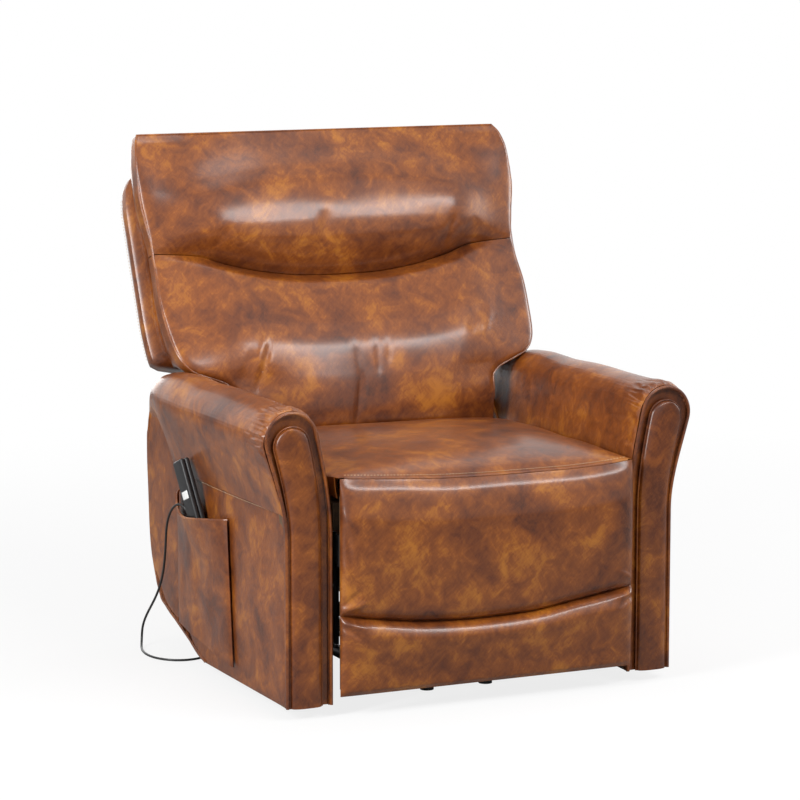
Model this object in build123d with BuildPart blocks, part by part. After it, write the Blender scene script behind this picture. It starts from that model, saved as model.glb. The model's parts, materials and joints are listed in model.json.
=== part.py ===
"""Lift recliner chair: an upholstered recliner on a powered lift base, as separate named pieces.

Frame: X to the right as seen from the front, Y backwards, Z up; the floor is Z = 0 and the origin is
under the middle of the chair. "left" is the -X side. Every size is in millimetres. A place in a side
view is given as (Y, Z), and a place in a front view as (X, Z).
"""

import os
from math import atan2, cos, degrees, hypot, pi, radians, sin, tan

from build123d import *

os.makedirs("parts", exist_ok=True)

# ---------------------------------------------------------------- driving sizes
# Arms
arm_front = -425  # front plane of both arms
arm_rear = 311  # rearmost point of both arms
arm_inner = 315  # half of the width between the arms
arm_outer = 410  # half of the width over the flat side panels
arm_base = 22  # lower edge of the arms
arm_join = 400  # height where the padded roll starts
leg_top = 340  # height where the front outline starts to lean out
roll_centre = (397, 531)  # middle of the round top, as (X, Z)
roll_radius = 58
facing_radius = 52  # round top of the flat front facing
pad_centre = (396, 520)  # middle of the round top of the raised front pad
pad_radius = 35
pad_inner, pad_outer = 338, 400  # sides of the raised front pad
facing_depth = 8  # thickness of the front facing board, behind the welt and the pad
pad_depth = 8  # how far the welt and the pad stand in front of the facing
welt_width = 6
skin = 3  # leather on its backing board
glue = 0.2  # glue line between two boards of a frame
rest_gap = 0.3  # between a cushion and the frame that carries it
board = 12  # thickness of a frame board
rear_pad_start = 262  # where the padded back of the arm starts
stump_depth = 18  # thickness of the arm frame's front board

# Back
back_hinge = (235, 420)
back_lean = 24  # degrees from upright
back_half_width = 438
back_top_half_width = 410
back_low_half_width = 308  # between the arms
back_bottom, back_top = 12, 640  # along the back, measured from the hinge
seam_side, seam_middle = 392, 340  # the seam between the lumbar cushion and the headrest
wing_bottom, wing_half_width = 80, 423  # lowest edge of the lumbar cushion's wings, over the arms
wing_start = 150  # where the outer back becomes wider than the gap between the arms
cushion_rear = -58  # depth of the cushions' rear face; forwards is negative
shell_front, shell_rear = -8, 12  # depth of the outer back
rail_depth = 20  # thickness of the back frame's rails and uprights
rail_width = 50
rail_places = (27, 290, 490)  # lower edges of the back frame's rails, along the back
arm_clearance = 5  # between the back and the arms

# Seat
seat_half_width = 311
seat_nose, seat_rear = -445, 165
frame_top, frame_bottom = 404, 352
webbing = 2  # thickness of the straps on the seat frame
seat_bottom = frame_top + webbing
lip_rise = 34  # from the seat's underside to the lower edge of its nose
crown_rise = 80  # from the seat's underside to its highest place
seat_lip = seat_bottom + lip_rise
seat_crown = seat_bottom + crown_rise
seat_back_height = 438  # top of the seat's rear edge, under the lumbar cushion
seat_frame_half_width, seat_board = 306, 22
seat_frame_front, seat_frame_rear = -405, 145

# Footrest
footrest_half_width = 311
footrest_front = -470
footrest_board_front, footrest_board_depth = -445, 15
footrest_base, footrest_seam = 40, 170
footrest_gap = 6  # between the top of the footrest and the seat's nose
footrest_top = seat_lip - footrest_gap
seam_gap = 4

# Lift linkage, footrest linkage and motors, as (Y, Z)
lift_arm_pivot, lift_carriage_pivot = (75, 90), (-325, 140)
guide_base_pivot, guide_carriage_pivot = (20, 225), (-335, 231)
swing_pivot, knee_pivot, toe_pivot = (-245, 330), (-325, 130), (-375, 330)
lift_motor_pivot, lift_crank_pivot = (-285, 62), (45, 245)
recline_motor_pivot, recline_crank_pivot = (-270, 308), (265, 325)
lift_motor_x, recline_motor_x = -60, 70

# Side lanes of the linkage: inner face and thickness, on both sides of the chair
lift_arm_lane = (238, 8)
upright_lane = (250, 6)
guide_lane = (260, 6)
rail_lane = (272, 6)
rear_link_lane = (282, 5)
front_link_lane = (290, 5)
bracket_lane = (298, 5)
hinge_lane = (282, 6)

pin_radius = 6
motor_pin_radius = 5
pin_clearance = 0.08  # radial, of every pin in its hole
guide_float = 3.4  # extra radius of the open pivot of the guide links
rod_float = 7.5  # extra radius of the open pivots of the motor rods
pin_head = 2  # how far a pin stands out past the plates that it joins
link_width, lift_arm_width = 26, 32

# Base
tube = 25
base_clearance = 16  # height of the glide feet
hoop_half_width, hoop_front, hoop_bend = 150, -318, 52
base_rear = 175  # middle of the rear tube
base_side = 255  # middle of the side rails
side_rail_front = -50
foot_radius = 13.5
front_foot_x = 63.5

# Handset, standing in its pocket
handset_length, handset_width, handset_half_depth = 145, 46, 10
handset_foot = (-424, -24, 294)  # middle of its lower end
handset_back_lean, handset_out_lean = 20, 8  # degrees
rocker_width, rocker_height, rocker_depth = 30, 14, 4.2
rocker_gap = 0.6
rocker_proud = 0.8
pocket_front, pocket_rear = -173, 113
pocket_bottom, pocket_top = 62, 352
pocket_low_depth, pocket_top_depth = 8, 38
leather = 2.5

# Cord
cord_diameter = 4.8

sides = (-1, 1)
pieces = {}


# ---------------------------------------------------------------- helpers
def front_plane(y):
    """A front-view plane (X, Z) at depth y; extruding by a negative amount goes backwards."""
    return Plane.XZ.offset(-y)


def lane_plane(side, lane):
    """A side-view plane (Y, Z) on the inner face of a lane."""
    return Plane.YZ.offset(side * lane[0])


def between(start, end, share=0.5):
    """A point on the line from start to end."""
    return tuple(a + (b - a) * share for a, b in zip(start, end))


def distance(start, end):
    return hypot(end[0] - start[0], end[1] - start[1])


def slope(start, end):
    """Angle of the line from start to end, in degrees."""
    return degrees(atan2(end[1] - start[1], end[0] - start[0]))


def disc(centre, radius, mode=Mode.ADD):
    """A circle in the current sketch."""
    with Locations(centre):
        Circle(radius, mode=mode)


def bar_outline(start, end, width):
    """A bar with round ends from pivot to pivot, in the current sketch."""
    with Locations(between(start, end)):
        SlotCenterToCenter(distance(start, end), width, rotation=slope(start, end))


def hull_outline(first, first_radius, second, second_radius):
    """The hull of two circles, in the current sketch."""
    disc(first, first_radius)
    disc(second, second_radius)
    make_hull()


def pin(centre, x_from, x_to, radius):
    """A round pin along X, in the current part."""
    with BuildSketch(Plane.YZ.offset(x_from)) as profile:
        disc(centre, radius)
    extrude(profile.sketch, amount=x_to - x_from)


def side_pins(centre, lane_from, lane_to, radius=pin_radius):
    """A pair of pins that reach from one lane through the other, with their heads."""
    x_near = min(lane_from[0], lane_to[0]) - pin_head
    x_far = max(sum(lane_from), sum(lane_to)) + pin_head
    for side in sides:
        pin(centre, side * x_near, side * x_far, radius)


def arm_outline(side, inner, outer, centre, radius):
    """The arm's front outline: upright legs that lean out into a round top."""
    low, high = radians(-15), radians(167)
    outer_start = (side * (centre[0] + radius * cos(low)), centre[1] + radius * sin(low))
    inner_start = (side * (centre[0] + radius * cos(high)), centre[1] + radius * sin(high))
    with BuildLine() as outline:
        Line((side * outer, arm_base), (side * outer, leg_top))
        Spline(
            (side * outer, leg_top),
            outer_start,
            tangents=[(0, 1), (side * sin(-low), cos(low))],
        )
        ThreePointArc(outer_start, (side * centre[0], centre[1] + radius), inner_start)
        Spline(
            inner_start,
            (side * inner, leg_top),
            tangents=[(-side * sin(high), cos(high)), (0, -1)],
        )
        Line((side * inner, leg_top), (side * inner, arm_base))
        Line((side * inner, arm_base), (side * outer, arm_base))
    make_face(outline.edges())


def arm_side_outline():
    """The arm seen from the side: level at the front, raised and rounded at the back."""
    arm_top = roll_centre[1] + roll_radius
    with BuildLine() as outline:
        Line((arm_front, arm_top), (arm_front, arm_base))
        Line((arm_front, arm_base), (0, arm_base))
        Line((0, arm_base), (240, 104))
        Spline(
            (240, 104),
            (284, 177),
            (arm_rear, arm_join),
            (278, 532),
            (225, 562),
            (75, arm_top),
            tangents=[(240, 82), (-1, 0)],
        )
        Line((75, arm_top), (arm_front, arm_top))
    make_face(outline.edges())


def back_point(along, depth):
    """(Y, Z) of a place on the back: along it from the hinge, and behind the hinge plane."""
    lean = radians(back_lean)
    return (
        back_hinge[0] + along * sin(lean) + depth * cos(lean),
        back_hinge[1] + along * cos(lean) - depth * sin(lean),
    )


def back_plane(depth):
    """A plane of the back at a depth, seen from the front: X across, Y up along the back."""
    lean = radians(back_lean)
    return Plane(origin=(0, *back_point(0, depth)), x_dir=(1, 0, 0), z_dir=(0, -cos(lean), sin(lean)))


def back_board(x_from, x_to, low, high, front, rear):
    """A board of the back, between two depths, in the current part."""
    with BuildSketch(back_plane(rear)) as profile:
        with BuildLine():
            Polyline((x_from, low), (x_to, low), (x_to, high), (x_from, high), close=True)
        make_face()
    extrude(profile.sketch, amount=rear - front)


def block(x_from, x_to, y_from, y_to, z_from, z_to, mode=Mode.ADD):
    """An upright box between its limits, in the current part."""
    with BuildSketch(Plane.XY.offset(z_from)) as profile:
        with BuildLine():
            Polyline((x_from, y_from), (x_to, y_from), (x_to, y_to), (x_from, y_to), close=True)
        make_face()
    extrude(profile.sketch, amount=z_to - z_from, mode=mode)


# ---------------------------------------------------------------- base
tube_z = base_clearance + tube / 2
hoop_x = hoop_half_width - tube / 2
hoop_y = hoop_front + tube / 2
rear_face = base_rear - tube / 2

with BuildPart() as base_hoop:
    with BuildLine():
        FilletPolyline(
            (-hoop_x, rear_face, tube_z),
            (-hoop_x, hoop_y, tube_z),
            (hoop_x, hoop_y, tube_z),
            (hoop_x, rear_face, tube_z),
            radius=hoop_bend,
        )
    with BuildSketch(Plane((-hoop_x, rear_face, tube_z), z_dir=(0, -1, 0))):
        Circle(tube / 2)
    sweep()
pieces["base_hoop"] = base_hoop

with BuildPart() as base_rear_tube:
    block(
        -base_side - tube / 2,
        base_side + tube / 2,
        rear_face,
        rear_face + tube,
        base_clearance,
        base_clearance + tube,
    )
pieces["base_rear_tube"] = base_rear_tube

with BuildPart() as base_side_rails:
    for side in sides:
        middle = side * base_side
        block(
            middle - tube / 2,
            middle + tube / 2,
            side_rail_front,
            rear_face,
            base_clearance,
            base_clearance + tube,
        )
pieces["base_side_rails"] = base_side_rails

foot_places = [(side * front_foot_x, hoop_y) for side in sides]
foot_places += [(side * base_side, side_rail_front + foot_radius) for side in sides]
foot_places += [(side * base_side, base_rear) for side in sides]
with BuildPart() as base_feet:
    with BuildSketch():
        with Locations(*foot_places):
            Circle(foot_radius)
    extrude(amount=base_clearance)
pieces["base_feet"] = base_feet

rail_top = base_clearance + tube
upright_foot_front = side_rail_front + 5
upright_foot_rear = lift_arm_pivot[0] + 50
with BuildPart() as base_uprights:
    for side in sides:
        with BuildSketch(lane_plane(side, upright_lane)):
            with BuildLine():
                Polyline(
                    (upright_foot_front, rail_top),
                    (upright_foot_rear, rail_top),
                    (lift_arm_pivot[0] + 30, lift_arm_pivot[1] + 20),
                    (guide_base_pivot[0] + 20, guide_base_pivot[1]),
                    (guide_base_pivot[0] - 20, guide_base_pivot[1]),
                    close=True,
                )
            make_face()
            disc(guide_base_pivot, 20)
            disc(lift_arm_pivot, pin_radius + pin_clearance, Mode.SUBTRACT)
            disc(guide_base_pivot, pin_radius + pin_clearance, Mode.SUBTRACT)
        extrude(amount=side * upright_lane[1])
pieces["base_uprights"] = base_uprights

ear_gap, ear = 10.5, 4  # half of the gap between a clevis's ears, and an ear's thickness
with BuildPart() as base_motor_bracket:
    for side in sides:
        with BuildSketch(Plane.YZ.offset(lift_motor_x + side * ear_gap)):
            hull_outline((hoop_y, tube_z), tube / 2 + 4, lift_motor_pivot, 14)
            disc((hoop_y, tube_z), tube / 2, Mode.SUBTRACT)
            disc(lift_motor_pivot, motor_pin_radius + pin_clearance, Mode.SUBTRACT)
        extrude(amount=side * ear)
    block(-600, 600, -600, 600, 0, tube_z - 4, Mode.SUBTRACT)
pieces["base_motor_bracket"] = base_motor_bracket

pin_reach = ear_gap + ear + pin_head
with BuildPart() as base_pivot_pins:
    side_pins(lift_arm_pivot, lift_arm_lane, upright_lane)
    side_pins(guide_base_pivot, upright_lane, guide_lane)
    pin(lift_motor_pivot, lift_motor_x - pin_reach, lift_motor_x + pin_reach, motor_pin_radius)
pieces["base_pivot_pins"] = base_pivot_pins

# ---------------------------------------------------------------- lift arms and guide links
cross_tube_radius = 15
cross_tube_place = between(lift_arm_pivot, lift_carriage_pivot, 0.1)
with BuildPart() as lift_arms:
    for side in sides:
        with BuildSketch(lane_plane(side, lift_arm_lane)):
            bar_outline(lift_arm_pivot, lift_carriage_pivot, lift_arm_width)
            disc(lift_arm_pivot, pin_radius + pin_clearance, Mode.SUBTRACT)
            disc(lift_carriage_pivot, pin_radius + pin_clearance, Mode.SUBTRACT)
        extrude(amount=side * lift_arm_lane[1])
pieces["lift_arms"] = lift_arms

with BuildPart() as lift_cross_tube:
    pin(cross_tube_place, -lift_arm_lane[0], lift_arm_lane[0], cross_tube_radius)
pieces["lift_cross_tube"] = lift_cross_tube

eye_radius, eye_half_depth = 20, 8
with BuildPart() as lift_crank:
    for side in sides:
        with BuildSketch(Plane.YZ.offset(lift_motor_x + side * ear_gap)):
            hull_outline(cross_tube_place, cross_tube_radius + 5, lift_crank_pivot, 14)
            disc(cross_tube_place, cross_tube_radius, Mode.SUBTRACT)
        extrude(amount=side * ear)
    pin(lift_crank_pivot, lift_motor_x - pin_reach, lift_motor_x + pin_reach, motor_pin_radius)
pieces["lift_crank"] = lift_crank

with BuildPart() as guide_links:
    for side in sides:
        with BuildSketch(lane_plane(side, guide_lane)):
            bar_outline(guide_base_pivot, guide_carriage_pivot, link_width)
            disc(guide_base_pivot, pin_radius + pin_clearance, Mode.SUBTRACT)
            disc(guide_carriage_pivot, pin_radius + guide_float, Mode.SUBTRACT)
        extrude(amount=side * guide_lane[1])
pieces["guide_links"] = guide_links


# ---------------------------------------------------------------- motors
housing_start, housing_end = 20, 110  # along the motor, from its pivot
housing_half_width, housing_half_height = 28, 32
outer_tube_radius, rod_radius = 18, 10
bore_clearance = 0.1


def motor_plane(pivot, crank, x_place, along):
    """A plane across a motor's axis, at a distance along it from its pivot."""
    angle = radians(slope(pivot, crank))
    axis = (0, cos(angle), sin(angle))
    centre = (x_place, pivot[0] + along * axis[1], pivot[1] + along * axis[2])
    return Plane(origin=centre, x_dir=(1, 0, 0), z_dir=axis)


def motor_body(pivot, crank, x_place, tube_end):
    """A linear motor: rear eye, gear housing and outer tube with the rod's bore."""
    with BuildPart() as body:
        with BuildSketch(Plane.YZ.offset(x_place - eye_half_depth)):
            hull_outline(pivot, 13, motor_point(pivot, crank, housing_start), 13)
        extrude(amount=2 * eye_half_depth)
        with BuildSketch(motor_plane(pivot, crank, x_place, housing_start)):
            Rectangle(2 * housing_half_width, 2 * housing_half_height)
        extrude(amount=housing_end - housing_start)
        fillet(body.edges().filter_by(lambda edge: edge.length > 60).group_by(Axis.X)[-1], 6)
        with BuildSketch(motor_plane(pivot, crank, x_place, housing_end)):
            Circle(outer_tube_radius)
        extrude(amount=tube_end - housing_end)
        with BuildSketch(motor_plane(pivot, crank, x_place, tube_end)):
            Circle(rod_radius + bore_clearance)
        extrude(amount=-(tube_end - housing_end), mode=Mode.SUBTRACT)
        with BuildSketch(Plane.YZ.offset(x_place - eye_half_depth)):
            disc(pivot, motor_pin_radius + pin_clearance)
        extrude(amount=2 * eye_half_depth, mode=Mode.SUBTRACT)
    return body


def motor_point(pivot, crank, along):
    """(Y, Z) of a point on a motor's axis."""
    return between(pivot, crank, along / distance(pivot, crank))


def motor_rod(pivot, crank, x_place, rod_start):
    """A motor's rod, from inside the tube to the eye at its crank."""
    length = distance(pivot, crank)
    with BuildPart() as rod:
        with BuildSketch(motor_plane(pivot, crank, x_place, rod_start)):
            Circle(rod_radius)
        extrude(amount=length - rod_start - (eye_radius + motor_pin_radius + rod_float) / 2)
        with BuildSketch(Plane.YZ.offset(x_place - eye_half_depth)):
            disc(crank, eye_radius)
        extrude(amount=2 * eye_half_depth)
        with BuildSketch(Plane.YZ.offset(x_place - eye_half_depth)):
            disc(crank, motor_pin_radius + rod_float)
        extrude(amount=2 * eye_half_depth, mode=Mode.SUBTRACT)
    return rod


lift_motor = motor_body(lift_motor_pivot, lift_crank_pivot, lift_motor_x, 320)
lift_rod = motor_rod(lift_motor_pivot, lift_crank_pivot, lift_motor_x, 130)
recline_motor = motor_body(recline_motor_pivot, recline_crank_pivot, recline_motor_x, 430)
recline_rod = motor_rod(recline_motor_pivot, recline_crank_pivot, recline_motor_x, 240)
pieces["lift_motor"] = lift_motor
pieces["lift_rod"] = lift_rod
pieces["recline_motor"] = recline_motor
pieces["recline_rod"] = recline_rod

# ---------------------------------------------------------------- carriage
front_tube_place, rear_tube_place = (-300, 280), (150, 278)
rail_upper, rail_lower = 345, 288
with BuildPart() as carriage_rails:
    for side in sides:
        with BuildSketch(lane_plane(side, rail_lane)):
            with BuildLine():
                Polyline(
                    (guide_carriage_pivot[0] - 20, lift_carriage_pivot[1] - 20),
                    (lift_carriage_pivot[0] + 27, lift_carriage_pivot[1] - 20),
                    (-275, rail_lower),
                    (rear_tube_place[0] - 40, rail_lower),
                    (rear_tube_place[0] - 22, rear_tube_place[1] - 20),
                    (rear_tube_place[0] + 22, rear_tube_place[1] - 20),
                    (back_hinge[0] + 22, rail_upper),
                    (back_hinge[0] + 18, back_hinge[1]),
                    (back_hinge[0] - 18, back_hinge[1]),
                    (back_hinge[0] - 35, rail_upper),
                    (-300, rail_upper),
                    (guide_carriage_pivot[0] - 20, 290),
                    close=True,
                )
            make_face()
            disc(back_hinge, 18)
            for place in (lift_carriage_pivot, guide_carriage_pivot, swing_pivot, back_hinge):
                disc(place, pin_radius + pin_clearance, Mode.SUBTRACT)
        extrude(amount=side * rail_lane[1])
pieces["carriage_rails"] = carriage_rails

with BuildPart() as carriage_cross_tubes:
    for place in (front_tube_place, rear_tube_place):
        pin(place, -rail_lane[0], rail_lane[0], tube / 2)
pieces["carriage_cross_tubes"] = carriage_cross_tubes

with BuildPart() as recline_motor_bracket:
    for side in sides:
        with BuildSketch(Plane.YZ.offset(recline_motor_x + side * ear_gap)):
            hull_outline(front_tube_place, tube / 2 + 4, recline_motor_pivot, 13)
            disc(front_tube_place, tube / 2, Mode.SUBTRACT)
            disc(recline_motor_pivot, motor_pin_radius + pin_clearance, Mode.SUBTRACT)
        extrude(amount=side * ear)
pieces["recline_motor_bracket"] = recline_motor_bracket

with BuildPart() as carriage_pivot_pins:
    side_pins(lift_carriage_pivot, lift_arm_lane, rail_lane)
    side_pins(guide_carriage_pivot, guide_lane, rail_lane)
    side_pins(swing_pivot, rail_lane, rear_link_lane)
    side_pins(back_hinge, rail_lane, hinge_lane)
    pin(
        recline_motor_pivot,
        recline_motor_x - pin_reach,
        recline_motor_x + pin_reach,
        motor_pin_radius,
    )
pieces["carriage_pivot_pins"] = carriage_pivot_pins

mount_width, mount_height = 40, 32
with BuildPart() as side_mounts:
    for side in sides:
        for place in (-130, 90):
            block(
                side * sum(rail_lane),
                side * arm_inner,
                place - mount_width / 2,
                place + mount_width / 2,
                frame_bottom - mount_height,
                frame_bottom,
            )
pieces["side_mounts"] = side_mounts

skirt_front, skirt_rear, skirt_bottom, skirt_top = 290, 300, 100, 420
with BuildPart() as rear_skirt:
    block(-arm_inner, arm_inner, skirt_front, skirt_rear, skirt_bottom, skirt_top)
pieces["rear_skirt"] = rear_skirt

# ---------------------------------------------------------------- control box under the seat
box_left, box_right, box_bottom, box_top, box_front = -250, -160, 150, 230, 250
socket_place = (-205, 270)
socket_radius, socket_height = 8, 10
with BuildPart() as control_box:
    block(box_left, box_right, box_front, skirt_front, box_bottom, box_top)
    fillet(control_box.edges().filter_by(Axis.Z).group_by(Axis.Y)[0], 5)
pieces["control_box"] = control_box

with BuildPart() as control_box_socket:
    with BuildSketch(Plane.XY.offset(box_bottom - socket_height)):
        disc(socket_place, socket_radius)
    extrude(amount=socket_height)
pieces["control_box_socket"] = control_box_socket

with BuildPart() as mains_inlet:
    block(box_right, box_right + 8, 256, 284, 165, 195)
    block(box_right + 4, box_right + 8, 260, 280, 169, 191, Mode.SUBTRACT)
pieces["mains_inlet"] = mains_inlet

# ---------------------------------------------------------------- arms
facing_front = arm_front + pad_depth
facing_rear = facing_front + facing_depth
stump_rear = facing_rear + stump_depth


def build_arm(side):
    """One arm: frame boards, padded roll, panels, front facing, raised pad and welt."""
    with BuildPart() as frame:
        with BuildSketch(front_plane(facing_rear)):
            arm_outline(
                side, arm_inner + skin, arm_outer - skin, roll_centre, facing_radius - skin
            )
        extrude(amount=-stump_depth)
        for x_from, x_to in (
            (arm_inner + skin, arm_inner + skin + board),
            (arm_outer - skin - board, arm_outer - skin),
        ):
            with BuildSketch(Plane.YZ.offset(side * x_from)):
                with BuildLine():
                    Polyline(
                        (stump_rear + glue, arm_base + 8),
                        (0, arm_base + 8),
                        (215, 105),
                        (rear_pad_start, 160),
                        (rear_pad_start, arm_join),
                        (stump_rear + glue, arm_join),
                        close=True,
                    )
                make_face()
            extrude(amount=side * (x_to - x_from))
        top_inner = side * (arm_inner + skin + board + glue)
        top_outer = side * (arm_outer - skin - board - glue)
        top_low = arm_join - board
        block(top_inner, top_outer, stump_rear + glue, rear_pad_start, top_low, arm_join)
        block(top_inner, top_outer, rear_pad_start - board, rear_pad_start, 160, top_low - glue)

    with BuildPart() as roll:
        with BuildSketch(front_plane(facing_rear)):
            arm_outline(side, arm_inner, arm_outer, roll_centre, roll_radius)
        extrude(amount=-(arm_rear + 20 - facing_rear))
        with BuildSketch(Plane.YZ.offset(side * (arm_inner - 20))):
            arm_side_outline()
        extrude(amount=side * 200, mode=Mode.INTERSECT)
        block(-600, 600, facing_rear - 1, rear_pad_start, 0, arm_join, Mode.SUBTRACT)
        with BuildSketch(front_plane(facing_rear)):
            arm_outline(
                side, arm_inner + skin, arm_outer - skin, roll_centre, facing_radius - skin
            )
        extrude(amount=-stump_depth, mode=Mode.SUBTRACT)

    with BuildPart() as side_panel:
        with BuildSketch(Plane.YZ.offset(side * (arm_outer - skin))):
            arm_side_outline()
        extrude(amount=side * skin)
        block(-600, 600, -600, 600, arm_join, 900, Mode.SUBTRACT)
        block(-600, 600, -600, stump_rear, 0, 900, Mode.SUBTRACT)
        block(-600, 600, rear_pad_start, 600, 0, 900, Mode.SUBTRACT)

    with BuildPart() as inner_panel:
        with BuildSketch(Plane.YZ.offset(side * arm_inner)):
            arm_side_outline()
        extrude(amount=side * skin)
        block(-600, 600, -600, 600, arm_join, 900, Mode.SUBTRACT)
        block(-600, 600, -600, stump_rear, 0, 900, Mode.SUBTRACT)
        block(-600, 600, rear_pad_start, 600, 0, 900, Mode.SUBTRACT)

    with BuildPart() as facing:
        with BuildSketch(front_plane(facing_front)):
            arm_outline(side, arm_inner, arm_outer, roll_centre, facing_radius)
        extrude(amount=-facing_depth)

    with BuildPart() as facing_pad:
        with BuildSketch(front_plane(arm_front)):
            arm_outline(side, pad_inner, pad_outer, pad_centre, pad_radius)
        extrude(amount=-pad_depth)

    with BuildPart() as welt:
        with BuildSketch(front_plane(arm_front)):
            arm_outline(side, arm_inner, arm_outer, roll_centre, facing_radius)
        extrude(amount=-pad_depth)
        with BuildSketch(front_plane(arm_front)):
            arm_outline(
                side,
                arm_inner + welt_width,
                arm_outer - welt_width,
                roll_centre,
                facing_radius - welt_width,
            )
        extrude(amount=-pad_depth, mode=Mode.SUBTRACT)

    return {
        "arm_frame": frame,
        "arm_roll": roll,
        "arm_side_panel": side_panel,
        "arm_inner_panel": inner_panel,
        "arm_facing": facing,
        "arm_facing_pad": facing_pad,
        "arm_welt": welt,
    }


for side, name in zip(sides, ("left", "right")):
    for label, piece in build_arm(side).items():
        pieces[f"{name}_{label}"] = piece

# ---------------------------------------------------------------- pocket on the left arm
with BuildPart() as handset_pocket:
    for inset, mode in ((0, Mode.ADD), (leather, Mode.SUBTRACT)):
        with BuildSketch(front_plane(pocket_front + inset)):
            with BuildLine():
                Polyline(
                    (-arm_outer, pocket_bottom + inset),
                    (-arm_outer - pocket_low_depth + inset, pocket_bottom + inset),
                    (-arm_outer - pocket_top_depth + inset, pocket_top),
                    (-arm_outer, pocket_top),
                    close=True,
                )
            make_face()
        extrude(amount=-(pocket_rear - pocket_front - 2 * inset), mode=mode)
    with BuildSketch(Plane.YZ.offset(-arm_outer - pocket_top_depth - 5)):
        with BuildLine():
            mouth = Spline(
                (pocket_front - 5, 334), (-60, 324), (20, 313), (72, 324), (pocket_rear + 5, 352)
            )
            Polyline(mouth @ 1, (pocket_rear + 5, 400), (pocket_front - 5, 400), mouth @ 0)
        make_face()
    extrude(amount=pocket_top_depth + 10, mode=Mode.SUBTRACT)
pieces["handset_pocket"] = handset_pocket

# ---------------------------------------------------------------- handset
back_tilt, out_tilt = radians(handset_back_lean), radians(handset_out_lean)
handset_axis = Vector(-sin(out_tilt), sin(back_tilt) * cos(out_tilt), cos(back_tilt) * cos(out_tilt))
handset_across = Vector(0, cos(back_tilt), -sin(back_tilt))


def handset_plane(along):
    """A plane across the handset: X towards its rear edge, Y out through its face."""
    origin = Vector(*handset_foot) + handset_axis * along
    return Plane(origin=origin, x_dir=handset_across, z_dir=handset_axis)


rocker_middle = handset_length / 2 + 2
rocker_floor = handset_half_depth + rocker_proud - rocker_depth
recess_floor = rocker_floor - 1
with BuildPart() as handset_front_shell:
    with BuildSketch(handset_plane(0)):
        with Locations((0, handset_half_depth / 2)):
            Rectangle(handset_width, handset_half_depth)
    extrude(amount=handset_length)
    with BuildSketch(handset_plane(rocker_middle - rocker_height / 2 - rocker_gap)):
        with Locations((0, (recess_floor + handset_half_depth + 5) / 2)):
            Rectangle(rocker_width + 2 * rocker_gap, handset_half_depth + 5 - recess_floor)
    extrude(amount=rocker_height + 2 * rocker_gap, mode=Mode.SUBTRACT)
pieces["handset_front_shell"] = handset_front_shell

clip_width, clip_start, clip_end, clip_depth = 16, 30, 95, 3
with BuildPart() as handset_back_shell:
    with BuildSketch(handset_plane(0)):
        with Locations((0, -handset_half_depth / 2)):
            Rectangle(handset_width, handset_half_depth)
    extrude(amount=handset_length)
    with BuildSketch(handset_plane(clip_start)):
        with Locations((-handset_width / 4, -handset_half_depth - clip_depth / 2)):
            Rectangle(clip_width, clip_depth)
    extrude(amount=clip_end - clip_start)
pieces["handset_back_shell"] = handset_back_shell

with BuildPart() as handset_rocker:
    with BuildSketch(handset_plane(rocker_middle - rocker_height / 2)):
        with Locations((0, rocker_floor + rocker_depth / 2)):
            Rectangle(rocker_width, rocker_depth)
    extrude(amount=rocker_height)
pieces["handset_rocker"] = handset_rocker

relief_radius, relief_length = 4, 10
with BuildPart() as handset_strain_relief:
    with BuildSketch(handset_plane(-relief_length)):
        Circle(relief_radius)
    extrude(amount=relief_length)
pieces["handset_strain_relief"] = handset_strain_relief

# ---------------------------------------------------------------- seat
inner_board = seat_frame_half_width - seat_board
with BuildPart() as seat_frame:
    for side in sides:
        block(
            side * inner_board,
            side * seat_frame_half_width,
            seat_frame_front + seat_board,
            seat_frame_rear,
            frame_bottom,
            frame_top,
        )
    block(
        -seat_frame_half_width,
        seat_frame_half_width,
        seat_frame_front,
        seat_frame_front + seat_board,
        frame_bottom,
        frame_top,
    )
    block(
        -inner_board,
        inner_board,
        seat_frame_rear - seat_board,
        seat_frame_rear,
        frame_bottom,
        frame_top,
    )
pieces["seat_frame"] = seat_frame

strap_width, strap_count, strap_pitch = 50, 5, 105
with BuildPart() as seat_webbing:
    with BuildSketch(Plane.XY.offset(frame_top)):
        with Locations((0, (seat_frame_front + seat_frame_rear) / 2)):
            with GridLocations(strap_pitch, 0, strap_count, 1):
                Rectangle(strap_width, seat_frame_rear - seat_frame_front)
    extrude(amount=seat_bottom - frame_top)
pieces["seat_webbing"] = seat_webbing

lumbar_low_front = back_point(back_bottom, -165)
with BuildPart() as seat_cushion:
    with BuildSketch(Plane.YZ.offset(-seat_half_width)):
        with BuildLine():
            Polyline(
                (seat_nose + 4, seat_lip),
                (seat_frame_front + 2, seat_lip),
                (seat_frame_front + 2, seat_bottom),
                (seat_rear, seat_bottom),
                (seat_rear, seat_back_height),
                (lumbar_low_front[0] - 8, lumbar_low_front[1] - 16),
            )
            Spline(
                (lumbar_low_front[0] - 8, lumbar_low_front[1] - 16),
                (-100, seat_crown),
                (-330, seat_crown - 8),
                (seat_nose, seat_lip + 14),
            )
            Line((seat_nose, seat_lip + 14), (seat_nose + 4, seat_lip))
        make_face()
    extrude(amount=2 * seat_half_width)
pieces["seat_cushion"] = seat_cushion


# ---------------------------------------------------------------- back
def arm_space():
    """Clears the arms, with room to move, from the current piece of the back."""
    clear_top = roll_centre[1] + roll_radius + arm_clearance
    for side in sides:
        with BuildSketch(Plane.YZ.offset(side * (arm_inner - arm_clearance))) as profile:
            with BuildLine():
                Polyline(
                    (arm_front, arm_join),
                    (arm_front, clear_top),
                    (150, clear_top),
                    (240, clear_top - 22),
                    (arm_rear - 15, clear_top - 55),
                    (arm_rear + 30, arm_join),
                    close=True,
                )
            make_face()
        extrude(profile.sketch, amount=side * 200, mode=Mode.SUBTRACT)


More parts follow.
